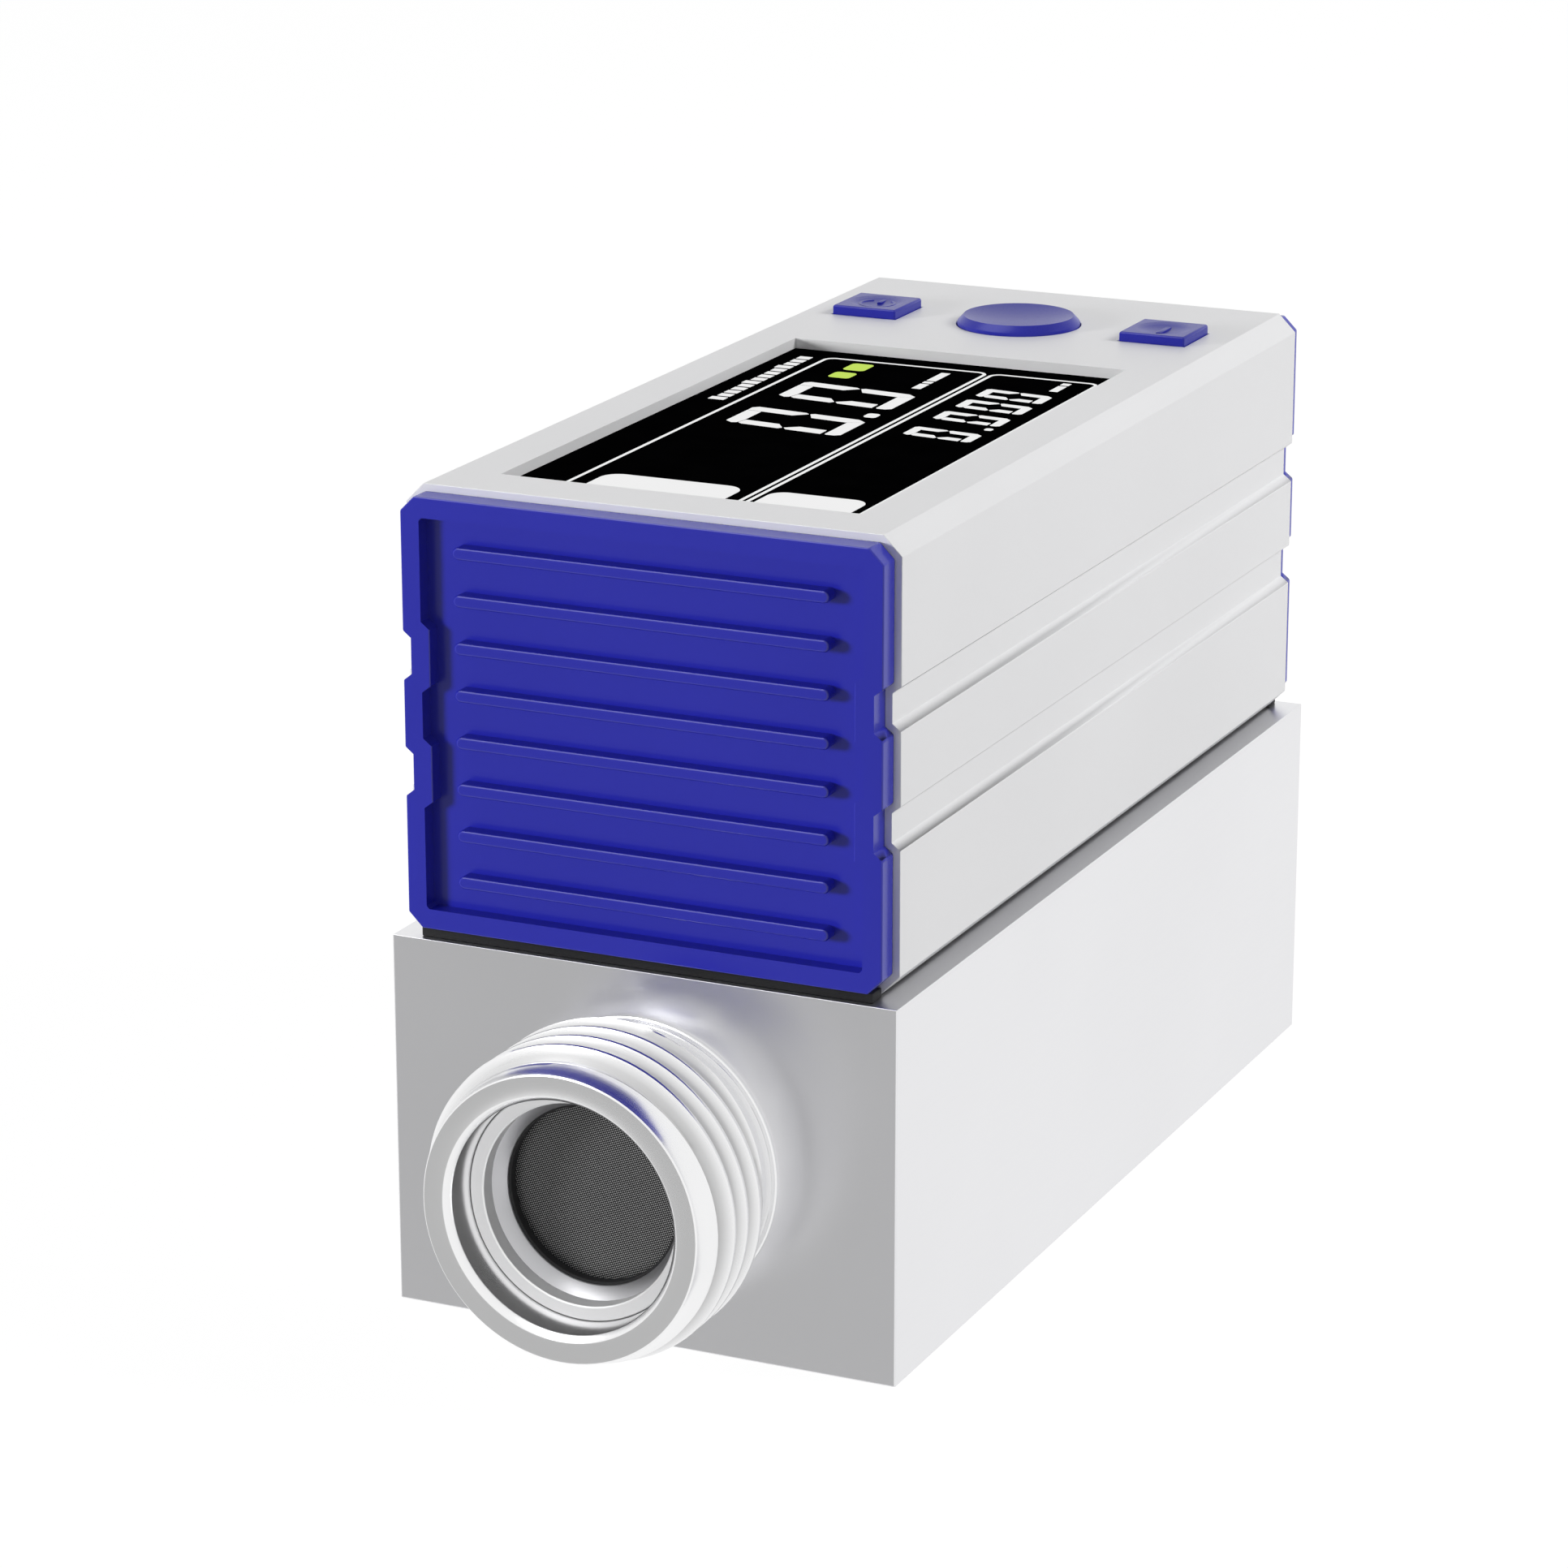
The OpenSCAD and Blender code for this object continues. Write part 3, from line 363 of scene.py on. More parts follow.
def paint_root_shade(material, root_shade, root_roughness):
    """The roots of a cut thread catch less light than its crests, and this shade is painted into the colour,
    while the roughness rises there. The thread's own depth leads the painted shade.
    """
    tree = material.node_tree
    shader = tree.nodes["Principled BSDF"]
    depth = tree.nodes.new("ShaderNodeAttribute")
    depth.attribute_name = "thread_root"
    for socket, level in (("Base Color", root_shade), ("Roughness", root_roughness)):
        mix = tree.nodes.new("ShaderNodeMix")
        mix.data_type = "RGBA"
        before = shader.inputs[socket].links[0].from_socket
        tree.links.new(depth.outputs["Fac"], mix.inputs[0])
        tree.links.new(before, mix.inputs[6])
        mix.inputs[7].default_value = (level, level, level, 1.0)
        tree.links.new(mix.outputs[2], shader.inputs[socket])


print("grain helpers ready")

# %% [markdown]
# The metals come first. The block is ground along its length, the ports and the screens' rings are turned
# on a lathe, and the housing is blasted and then anodised, which leaves a fine even grain.

# %% Metals
socket_low, socket_high = box_mm("socket_shell")
socket_z = (socket_low.z + socket_high.z) / 2
ground_metal = finish("ground_metal", (0.78, 0.78, 0.795), (0.80, 0.80, 0.815), 1.0, 0.30, 0.16, 0.0010,
                      stretch=(1.0, 0.05, 1.0), cloud_mm=22.0, rough_swing=0.02, bump_strength=0.05)
turned_port = finish("turned_port", (0.87, 0.87, 0.875), (0.89, 0.89, 0.895), 1.0, 0.25, 0.09, 0.0006,
                     rings_z=flow_z, rough_swing=0.02, bump_strength=0.04)
# Painted shade: the ports' base colour darkens towards the roots of the thread.
paint_root_shade(turned_port, 0.38, 0.40)
turned_ring = finish("turned_ring", (0.96, 0.96, 0.965), (0.98, 0.98, 0.985), 1.0, 0.62, 0.07, 0.0008,
                     rings_z=flow_z, rough_swing=0.03, bump_strength=0.05)
# The washer's metal is darker than the ring's: painted shade on its cone, deeper in the counterbore.
washer_metal_painted_shade = finish("washer_metal_painted_shade", (0.50, 0.50, 0.515), (0.54, 0.54, 0.555), 1.0, 0.34, 0.07, 0.0008,
                       rings_z=flow_z, rough_swing=0.03, bump_strength=0.05)
turned_socket = finish("turned_socket", (0.60, 0.59, 0.57), (0.68, 0.67, 0.65), 1.0, 0.22, 0.08, 0.003,
                       rings_z=socket_z)
blasted_metal = finish("blasted_metal", (0.80, 0.80, 0.81), (0.83, 0.83, 0.84), 0.15, 0.42, 0.09, 0.006,
                       cloud_mm=26.0)
plated_steel = finish("plated_steel", (0.56, 0.56, 0.58), (0.66, 0.66, 0.68), 1.0, 0.28, 0.06, 0.003)
bare_brass = finish("bare_brass", (0.66, 0.46, 0.17), (0.74, 0.54, 0.22), 1.0, 0.25, 0.06, 0.003)
gold_plate = finish("gold_plate", (0.80, 0.56, 0.20), (0.90, 0.66, 0.28), 1.0, 0.16, 0.05, 0.002)
drilled_steel = finish("drilled_steel", (0.50, 0.50, 0.52), (0.60, 0.60, 0.62), 1.0, 0.32, 0.12, 0.004,
                       rings_z=flow_z)
print("metals made")

# %% [markdown]
# The caps and keys are a deep blue with a satin surface. The rest is black or grey plastic and rubber, the
# green boards and the white ribbon, which the closed housing hides.

# %% Blues, plastics and rubber
blue_dark = (0.0130, 0.0160, 0.385)
blue_light = (0.0150, 0.0180, 0.405)
satin_blue = finish("satin_blue", blue_dark, blue_light, 0.0, 0.24, 0.07, 0.0008, cloud_mm=14.0,
                    rough_swing=0.03, bump_strength=0.12)
set_mirroring(satin_blue, 0.55)
key_blue = finish("key_blue", (0.0080, 0.0100, 0.285), (0.0090, 0.0115, 0.300), 0.0, 0.30, 0.06, 0.0008,
                  cloud_mm=5.0, rough_swing=0.03, bump_strength=0.12)
set_mirroring(key_blue, 0.35)
black_rubber = finish("black_rubber", (0.006, 0.006, 0.007), (0.012, 0.012, 0.013), 0.0, 0.70, 0.12, 0.010)
black_plastic = finish("black_plastic", (0.018, 0.018, 0.019), (0.028, 0.028, 0.030), 0.0, 0.48, 0.10, 0.006)
grey_plastic = finish("grey_plastic", (0.16, 0.16, 0.17), (0.22, 0.22, 0.23), 0.0, 0.45, 0.12, 0.006)
board_green = finish("board_green", (0.010, 0.14, 0.05), (0.020, 0.20, 0.08), 0.0, 0.30, 0.35, 0.010)
ribbon_white = finish("ribbon_white", (0.72, 0.72, 0.70), (0.80, 0.80, 0.78), 0.0, 0.45, 0.20, 0.006,
                      stretch=(1.0, 1.0, 0.02))
print("blues, plastics and rubber made")

# %% [markdown]
# The display is a black window that hardly shines, so the white marks stand out from any side. A very fine
# square pattern of picture points lies under the surface.

# %% Window and marks
PICTURE_POINT_PITCH = 0.134


def waves_along(tree, place, axes, step):
    """One cosine wave along each of the axes."""
    parts = tree.nodes.new("ShaderNodeSeparateXYZ")
    tree.links.new(place, parts.inputs[0])
    turns = [calculated(tree, "MULTIPLY", parts.outputs[axis], step) for axis in axes]
    return [calculated(tree, "COSINE", turn) for turn in turns]


def picture_points(tree, pitch_mm):
    """Minus one to one, high in the middle of each picture point."""
    waves = waves_along(tree, place_of_grain(tree), ("X", "Y"), 2.0 * math.pi / (pitch_mm * MM))
    return calculated(tree, "MAXIMUM", *waves)


def lit_mark(name, dark, bright, glow):
    """A lit mark of the display, with its picture points just visible in it."""
    material, tree, inputs = new_material(name)
    inputs["Roughness"].default_value = 0.6
    inputs["Specular IOR Level"].default_value = 0.0
    inputs["Base Color"].default_value = (0.02, 0.02, 0.02, 1.0)
    inputs["Emission Strength"].default_value = glow
    points = tree.nodes.new("ShaderNodeMapRange")
    points.inputs["From Min"].default_value = -1.0
    tree.links.new(picture_points(tree, PICTURE_POINT_PITCH), points.inputs["Value"])
    tree.links.new(tint(tree, points.outputs["Result"], dark, bright), inputs["Emission Color"])
    return material


window_black = finish("window_black", (0.0006, 0.0006, 0.0007), (0.0012, 0.0012, 0.0014), 0.0, 0.30, 0.13,
                      0.001, cloud_mm=3.0)
set_mirroring(window_black, 0.0)
window_black.node_tree.nodes["Principled BSDF"].inputs["IOR"].default_value = 1.0
mark_white = lit_mark("mark_white", (0.78, 0.78, 0.78), (0.88, 0.88, 0.88), 1.0)
mark_green = lit_mark("mark_green", (0.46, 0.66, 0.08), (0.56, 0.76, 0.12), 1.0)
print("display finishes made")

# %% [markdown]
# Each solid keeps its own mesh here and gets the finish of its material. The pieces that the next cells
# model again take these solids' places.

# %% Finishes on the solids
finish_of_slot = {
    "block_aluminium": ground_metal,
    "port_metal": turned_port,
    "ring_metal": turned_ring,
    "screen_wire": plated_steel,
    "black_rubber": black_rubber,
    "housing_aluminium": blasted_metal,
    "blue_cap": satin_blue,
    "blue_key": key_blue,
    "black_window": window_black,
    "black_plastic": black_plastic,
    "grey_panel": grey_plastic,
    "board_green": board_green,
    "ribbon_white": ribbon_white,
    "sensor_gold": gold_plate,
    "standoff_brass": bare_brass,
    "screw_steel": plated_steel,
    "socket_metal": turned_socket,
    "calm_steel": drilled_steel,
}
slot_of_node = {entry["node"]: entry["material_slot"] for entry in frame["record"]["subparts"]}
for node, solid in frame["nodes"].items():
    solid.data.materials.clear()
    solid.data.materials.append(finish_of_slot[slot_of_node[node]])
print("finished", len(slot_of_node), "solids")

# %% [markdown]
# ## Two ways to make a piece
# A cast or milled piece is a copy of its solid. The copy's loose triangles are merged into whole faces, and
# a small bevel rounds its outer edges, as every real edge is rounded. Inner corners stay sharp, since a
# cutter or a mould leaves them so. A turned piece is a lathe profile spun about its axis.

# %% Helpers for new pieces


def add_piece(mesh, name, body, material, sharp_degrees=32.0):
    """Makes an object of a bmesh, with smooth faces up to the sharp angle."""
    data = bpy.data.meshes.new(name)
    mesh.to_mesh(data)
    mesh.free()
    data.shade_smooth()
    if sharp_degrees is not None:
        data.set_sharp_from_angle(angle=math.radians(sharp_degrees))
    data.materials.append(material)
    piece = bpy.data.objects.new(name, data)
    bpy.context.scene.collection.objects.link(piece)
    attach(piece, body)
    return piece


def softened(node, name, body, width, segments=2, angle_degrees=28.0):
    """A copy of a solid in whole faces, with its outer edges rounded and its inner corners left sharp."""
    solid = frame["nodes"][node]
    mesh = bmesh.new()
    mesh.from_mesh(solid.data)
    bmesh.ops.remove_doubles(mesh, verts=mesh.verts, dist=0.0005 * MM)
    bmesh.ops.dissolve_limit(mesh, angle_limit=math.radians(0.5), verts=mesh.verts, edges=mesh.edges)
    mesh.normal_update()
    rounding = mesh.edges.layers.float.new("bevel_weight_edge")
    least_angle = math.radians(angle_degrees)
    turned_edges = [edge for edge in mesh.edges if edge.calc_face_angle(0.0) > least_angle]
    inner_corners = set()
    for edge in turned_edges:
        if not edge.is_convex:
            inner_corners.update(edge.verts)
    for edge in turned_edges:
        outer = edge.is_convex and inner_corners.isdisjoint(edge.verts)
        edge[rounding] = 1.0 if outer else 0.0
        edge.smooth = outer
    slot = slot_of_node[node]
    piece = add_piece(mesh, name, body, finish_of_slot[slot], None)
    bevel = piece.modifiers.new("round_edges", "BEVEL")
    bevel.width = width * MM
    bevel.segments = segments
    bevel.limit_method = "WEIGHT"
    bevel.use_clamp_overlap = False
    bevel.harden_normals = False
    level = piece.modifiers.new("flat_faces", "WEIGHTED_NORMAL")
    level.keep_sharp = True
    level.weight = 60
    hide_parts(node)
    return piece


def lathe(mesh, profile, steps=96):
    """Spins a profile of radius and place along Y once about the Y axis."""
    corners = [mesh.verts.new((radius * MM, along * MM, 0.0)) for radius, along in profile]
    edges = [mesh.edges.new(pair) for pair in zip(corners, corners[1:])]
    bmesh.ops.spin(mesh, geom=corners + edges, cent=(0.0, 0.0, 0.0), axis=(0.0, 1.0, 0.0),
                   angle=2.0 * math.pi, steps=steps, use_merge=True)
    bmesh.ops.remove_doubles(mesh, verts=mesh.verts, dist=0.0002 * MM)


def settle(mesh, place, half_turn=False):
    """Points the faces outwards and moves a turned piece to its place."""
    bmesh.ops.remove_doubles(mesh, verts=mesh.verts, dist=0.0002 * MM)
    bmesh.ops.recalc_face_normals(mesh, faces=mesh.faces)
    bmesh.ops.translate(mesh, verts=mesh.verts, vec=Vector(place) * MM)
    if half_turn:
        bmesh.ops.rotate(mesh, verts=mesh.verts, cent=(0.0, 0.0, 0.0),
                         matrix=Matrix.Rotation(math.pi, 3, "Z"))


def quarter_turn(mesh):
    """Turns a mesh that was made along Y or Z by a quarter about X."""
    bmesh.ops.rotate(mesh, verts=mesh.verts, cent=(0.0, 0.0, 0.0),
                     matrix=Matrix.Rotation(math.pi / 2, 3, "X"))


def thicken(mesh, faces, along):
    """Pulls flat faces out into a solid."""
    grown = bmesh.ops.extrude_face_region(mesh, geom=faces)
    grown_verts = [item for item in grown["geom"] if isinstance(item, bmesh.types.BMVert)]
    bmesh.ops.translate(mesh, verts=grown_verts, vec=along)


def rounded_box(middle, size, offset):
    """A box with rounded edges."""
    mesh = bmesh.new()
    bmesh.ops.create_cube(mesh, size=1.0)
    bmesh.ops.scale(mesh, verts=mesh.verts, vec=Vector(size) * MM)
    bmesh.ops.translate(mesh, verts=mesh.verts, vec=Vector(middle) * MM)
    bmesh.ops.bevel(mesh, geom=mesh.edges[:], offset=offset * MM, segments=2, profile=0.5, affect="EDGES",
                    material=-1)
    return mesh


print("helpers ready")

# %% [markdown]
# ## Milled pieces
# The block, the housing, the caps and the square keys are copies of their solids with rounded edges. The
# block's edges are broken by a tenth of a millimetre and the moulded caps are as soft. The housing and the
# square keys have crisper edges.

# %% Block, housing, caps and square keys
soft_edge = 0.11
housing_edge = 0.05
key_edge = 0.04
milled = [
    softened("flow_block", "block_body", BODY, soft_edge),
    softened("housing", "case_body", BODY, housing_edge),
    softened("front_cap", "cap_front", BODY, soft_edge, segments=3),
    softened("rear_cap", "cap_rear", BODY, soft_edge, segments=3),
    softened("key_left", "key_square_left", "key_left", key_edge),
    softened("key_right", "key_square_right", "key_right", key_edge),
]
print("rounded", [piece.name for piece in milled])

# %% [markdown]
# The gap under each cap is dark. A black bar fills it: in part the base gasket, which turns up there, and in
# part painted shade, a dark piece where the gap lies in shade. The bar has rounded edges, stands on the
# block and touches the housing's end.

# %% Lips of the base gasket, which also paint the shade in the gaps
cap_low, cap_high = box_mm("front_cap")
lip_back = 0.35
lip_side = 0.75
lip_gap = 0.03
lip_round = 0.08


def gasket_and_shade_lip(name, end_y, cap_y):
    """A black bar in the gap between the block and a cap, from the housing's end to near the cap's face:
    part gasket, part painted shade.
    """
    toward = 1.0 if cap_y > end_y else -1.0
    reach = abs(cap_y - end_y) - lip_back
    low = Vector((cap_low.x + lip_side, min(end_y, end_y + toward * reach), block_high.z))
    high = Vector((cap_high.x - lip_side, max(end_y, end_y + toward * reach), cap_low.z - lip_gap))
    mesh = rounded_box((high + low) / 2, high - low, lip_round)
    add_piece(mesh, name, BODY, black_rubber)


rear_high = box_mm("rear_cap")[1]
gasket_and_shade_lip("gasket_lip_front", housing_low.y, cap_low.y)
gasket_and_shade_lip("gasket_lip_rear", housing_high.y, rear_high.y)
print("gap under the caps", round(cap_low.z - block_high.z, 3), "mm")

# %% [markdown]
# ## Ports
# Each port is turned: an end face with a chamfered mouth, a counterbore for the screen, an outside taper
# that leads into the thread, a relief neck behind the thread and a thin collar on the block. The thread is
# a real helix. One ridge of it is spun with a step along the axis, so each turn joins the one before, and
# the ridge is then held under the taper at the tip and the slope at the neck.

# %% Port sizes
port_length = block_low.y - port_front
thread_radius = (port_high.x - port_low.x) / 2
thread_pitch = 1.814
thread_depth = 0.6403 * thread_pitch
thread_turn = 0.52
thread_turns = 9
thread_steps = 96
thread_lead_in = (0.9, 2.6)
tip_radius = 9.38
tip_taper = 2.6
thread_end = 8.13
relief_radius = 9.15
relief_slope = 0.70
collar_radius = 9.55
collar_thick = 0.35
mouth_radius = 7.96
lip_length = 0.45
seat_radius = 7.60
seat_depth = 5.75
bore_radius = 5.60
spigot_radius = 8.50
spigot_end = port_high.y - port_front
edge_round = 0.09
ridge_shares = ((0.0, 0.0), (0.07, 0.02), (0.13, 0.12), (0.25, 0.50), (0.37, 0.88), (0.43, 0.98), (0.5, 1.0),
                (0.57, 0.98), (0.63, 0.88), (0.75, 0.50), (0.87, 0.12), (0.93, 0.02), (1.0, 0.0))
print("port length", round(port_length, 3), "mm, thread radius", round(thread_radius, 4), "mm")

# %% The thread of a port


def port_limit(along):
    """Greatest radius of the port's outside at a distance from its end face."""
    taper = tip_radius + (thread_radius - tip_radius) * min(1.0, along / tip_taper) ** 2
    slope = thread_radius - (thread_radius - relief_radius) * max(0.0, along - thread_end) / relief_slope
    return max(relief_radius, min(taper, slope))


def smooth_step(value, start, end):
    share = min(1.0, max(0.0, (value - start) / (end - start)))
    return share * share * (3.0 - 2.0 * share)


def ridge_sleeve(mesh, crest, depth, pitch, start, end, first_turn, turns, steps, limit, lead_in):
    """A helical ridge round the Y axis, cut square at both ends."""
    ridge = [mesh.verts.new(((crest - depth + depth * height) * MM, (first_turn + along * pitch) * MM, 0.0))
             for along, height in ridge_shares]
    edges = [mesh.edges.new(pair) for pair in zip(ridge, ridge[1:])]
    bmesh.ops.spin(mesh, geom=ridge + edges, cent=(0.0, 0.0, 0.0), axis=(0.0, 1.0, 0.0),
                   dvec=(0.0, pitch * MM / steps, 0.0), angle=2.0 * math.pi * turns, steps=steps * turns)
    bmesh.ops.remove_doubles(mesh, verts=mesh.verts, dist=0.0005 * MM)
    # Depth of each point below the crest, which leads the painted shade in the roots.
    root = mesh.verts.layers.float.new("thread_root")
    for vert in mesh.verts:
        radius = math.hypot(vert.co.x, vert.co.z) / MM
        along = vert.co.y / MM
        top = limit(along)
        cut = smooth_step(along, *lead_in)
        wanted = min(top, top + (min(radius, top) - top) * cut)
        vert[root] = max(0.0, (top - wanted) / depth)
        vert.co.x *= wanted / radius
        vert.co.z *= wanted / radius
    for place, side in ((start, -1.0), (end, 1.0)):
        geometry = mesh.verts[:] + mesh.edges[:] + mesh.faces[:]
        bmesh.ops.bisect_plane(mesh, geom=geometry, dist=0.0001 * MM, plane_co=(0.0, place * MM, 0.0),
                               plane_no=(0.0, side, 0.0), clear_outer=True)


def ring_at(mesh, along, tolerance=0.001):
    """Open edges that lie at one place along Y."""
    found = []
    for edge in mesh.edges:
        if len(edge.link_faces) < 2 and all(abs(vert.co.y / MM - along) < tolerance for vert in edge.verts):
            found.append(edge)
    return found


def close_rings(mesh, pairs):
    """Joins the thread to the lathe profile, and counts the edges that are still open."""
    for first, second in pairs:
        bmesh.ops.bridge_loops(mesh, edges=ring_at(mesh, first) + ring_at(mesh, second))
    return sum(1 for edge in mesh.edges if len(edge.link_faces) < 2)


def port_piece(name, node, half_turn):
    mesh = bmesh.new()
    neck_end = port_length - collar_thick
    ridge_sleeve(mesh, thread_radius, thread_depth, thread_pitch, edge_round, neck_end - edge_round,
                 thread_turn - 2.0 * thread_pitch, thread_turns, thread_steps, port_limit, thread_lead_in)
    lathe(mesh, [
        (tip_radius - edge_round, 0.0),
        (mouth_radius + edge_round, 0.0),
        (mouth_radius, edge_round / 2),
        (seat_radius + edge_round / 2, lip_length),
        (seat_radius, lip_length + edge_round),
        (seat_radius, seat_depth),
        (bore_radius, seat_depth),
        (bore_radius, spigot_end),
        (spigot_radius, spigot_end),
        (spigot_radius, port_length),
        (collar_radius, port_length),
        (collar_radius, neck_end + edge_round),
        (collar_radius - edge_round, neck_end),
        (relief_radius + edge_round / 2, neck_end),
    ])
    open_edges = close_rings(mesh, ((0.0, edge_round), (neck_end, neck_end - edge_round)))
    settle(mesh, (0.0, port_front, flow_z), half_turn)
    piece = add_piece(mesh, name, BODY, turned_port, 28.0)
    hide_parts(node)
    print(name, len(piece.data.polygons), "faces, open edges", open_edges)


port_piece("port_in", "inlet_port", False)
port_piece("port_out", "outlet_port", True)

# %% [markdown]
# ## Screens
# A turned ring and the washer behind it press a black ring and a fine wire screen onto the step in the
# counterbore. The washer's darker metal is painted shade on its cone. More than eighty wires cross the
# opening each way, and each would take hundreds of faces. So the screen is one thin disc, and its finish
# draws the weave: two sets of crossing wires, with painted shade in the gaps where the dark bore shows
# through.

# %% Screen sizes
ring_front = 2.75
ring_back = 4.75
ring_step_radius = 6.62
ring_step_end = 3.95
ring_throat_radius = 5.90
ring_throat_start = 4.67
gasket_back = 5.45
gasket_hole_radius = 5.75
screen_back = 5.75
wire_pitch = 0.137
wire_turn_degrees = 22.0
fit_gap = 0.05
print("screen lies", gasket_back, "mm behind the end face")

# %% The finish of the woven screen


def woven_wire(name, pitch_mm, turn_degrees):
    """Silver wires with painted shade: black in the gaps, where the dark bore shows through, and a ramp of
    shade from the wires' tops into the gaps.
    """
    material, tree, inputs = new_material(name)
    inputs["Metallic"].default_value = 0.6
    inputs["Roughness"].default_value = 0.45
    place = place_of_grain(tree, turn_y=math.radians(turn_degrees))
    waves = waves_along(tree, place, ("X", "Z"), math.pi / (pitch_mm * MM))
    height = calculated(tree, "ABSOLUTE", calculated(tree, "MULTIPLY", *waves))
    # Painted shade: black in the gaps between the wires, and darker towards them.
    shade = tint(tree, height, (0.012, 0.012, 0.013), (0.50, 0.50, 0.50), 0.42, 0.92)
    tree.links.new(shade, inputs["Base Color"])
    tree.links.new(raise_by(tree, height, 0.02, 0.6), inputs["Normal"])
    return material


woven_screen = woven_wire("woven_screen", wire_pitch, wire_turn_degrees)
print("wire pitch", wire_pitch, "mm")

# %% Ring, black ring and screen


def turned_piece(profile, name, half_turn, material):
    """A ring in the counterbore of a port."""
    mesh = bmesh.new()
    lathe(mesh, profile)
    settle(mesh, (0.0, port_front, flow_z), half_turn)
    return add_piece(mesh, name, BODY, material)


def screen_set(side, half_turn):
    """The four pieces in the counterbore of one port."""
    outer = seat_radius - fit_gap
    ring_piece = turned_piece([
        (ring_step_radius + edge_round, ring_front),
        (outer - edge_round, ring_front),
        (outer, ring_front + edge_round),
        (outer, ring_step_end),
        (ring_step_radius + edge_round / 2, ring_step_end),
        (ring_step_radius, ring_step_end - edge_round / 2),
        (ring_step_radius, ring_front + edge_round),
        (ring_step_radius + edge_round, ring_front),
    ], side + "_ring", half_turn, turned_ring)
    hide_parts(side + "_screen_ring")

    washer_piece = turned_piece([
        (ring_step_radius + edge_round / 2, ring_step_end),
        (outer, ring_step_end),
        (outer, ring_back),
        (ring_throat_radius, ring_back),
        (ring_throat_radius, ring_throat_start + edge_round / 2),
        (ring_throat_radius + edge_round / 2, ring_throat_start - edge_round / 2),
        (ring_step_radius, ring_step_end + edge_round / 2),
        (ring_step_radius + edge_round / 2, ring_step_end),
    ], side + "_washer", half_turn, washer_metal_painted_shade)

    gasket_piece = turned_piece([
        (gasket_hole_radius + edge_round, ring_back),
        (outer, ring_back),
        (outer, gasket_back),
        (gasket_hole_radius, gasket_back),
        (gasket_hole_radius, ring_back + edge_round),
        (gasket_hole_radius + edge_round, ring_back),
    ], side + "_black_ring", half_turn, black_rubber)
    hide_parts(side + "_screen_gasket")

    disc = bmesh.new()
    bmesh.ops.create_circle(disc, cap_ends=True, segments=96, radius=outer * MM)
    quarter_turn(disc)
    bmesh.ops.translate(disc, verts=disc.verts, vec=(0.0, gasket_back * MM, 0.0))
    thicken(disc, disc.faces[:], (0.0, (screen_back - gasket_back) * MM, 0.0))
    settle(disc, (0.0, port_front, flow_z), half_turn)
    disc_piece = add_piece(disc, side + "_woven_screen", BODY, woven_screen)
    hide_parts(side + "_screen")
    return ring_piece, washer_piece, gasket_piece, disc_piece


screens = screen_set("inlet", False) + screen_set("outlet", True)
print("screens", [piece.name for piece in screens])

# %% [markdown]
# ## Round key
# The middle key is turned: a straight edge at the housing, a cone up to its rim, and a wide finger dish. A
# finer lathe than the solid's keeps the dish smooth in the highlight.

# %% Round key
key_low, key_high = box_mm("key_middle")
key_y = (key_low.y + key_high.y) / 2
flange_radius = (key_high.x - key_low.x) / 2
flange_top = 52.30
key_radius = 4.34
rim_radius = 3.90
key_edge_top = housing_high.z + 0.20
dish_depth = 0.45
dish_steps = 14
key_steps = 128


def dish_height(radius, rim, depth, top):
    ball = (rim * rim + depth * depth) / 2.0 / depth
    return top + ball - depth - math.sqrt(ball * ball - radius * radius)


round_profile = [(0.0, key_low.z), (flange_radius, key_low.z), (flange_radius, flange_top),
                 (key_radius, flange_top), (key_radius, key_edge_top - edge_round / 2),
                 (key_radius - edge_round / 2, key_edge_top + edge_round / 2),
                 (rim_radius + edge_round / 2, key_high.z - edge_round / 2), (rim_radius, key_high.z)]
for count in range(1, dish_steps + 1):
    radius = (rim_radius - edge_round) * (1.0 - count / dish_steps)
    round_profile.append((radius, dish_height(radius, rim_radius, dish_depth, key_high.z)))
round_mesh = bmesh.new()
lathe(round_mesh, round_profile, key_steps)
quarter_turn(round_mesh)
settle(round_mesh, (0.0, key_y, 0.0))
key_round = add_piece(round_mesh, "key_round", "key_middle", key_blue)
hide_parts("key_middle")
print("round key rim", rim_radius, "mm, dish", dish_depth, "mm deep")

# %% [markdown]
# ## Signs on the square keys
# Small raised signs lie in the finger dishes: an open ring with a bar on the left key, as on any switch
# that wakes or stops a device, and one plain bar on the right key.

# %% Key signs
sign_rise = 0.16
sign_low = 0.40
left_low, left_high = box_mm("key_left")
right_low, right_high = box_mm("key_right")
left_x = (left_low.x + left_high.x) / 2
right_x = (right_low.x + right_high.x) / 2
sign_floor = key_high.z - sign_low
sign_top = key_high.z - sign_low + sign_rise + 0.12
ring_radius = 1.25
ring_width = 0.34
ring_opening_degrees = 70.0
ring_steps = 40
sign_round_share = 0.3


def bar_sign(name, body, x, y, across, along):
    """A low bar with rounded corners and edges, standing in a dish."""
    height = sign_top - sign_floor
    middle = (x, y, (sign_top + sign_floor) / 2)
    mesh = rounded_box(middle, (across, along, height), min(across, height) * sign_round_share)
    add_piece(mesh, name, body, key_blue)


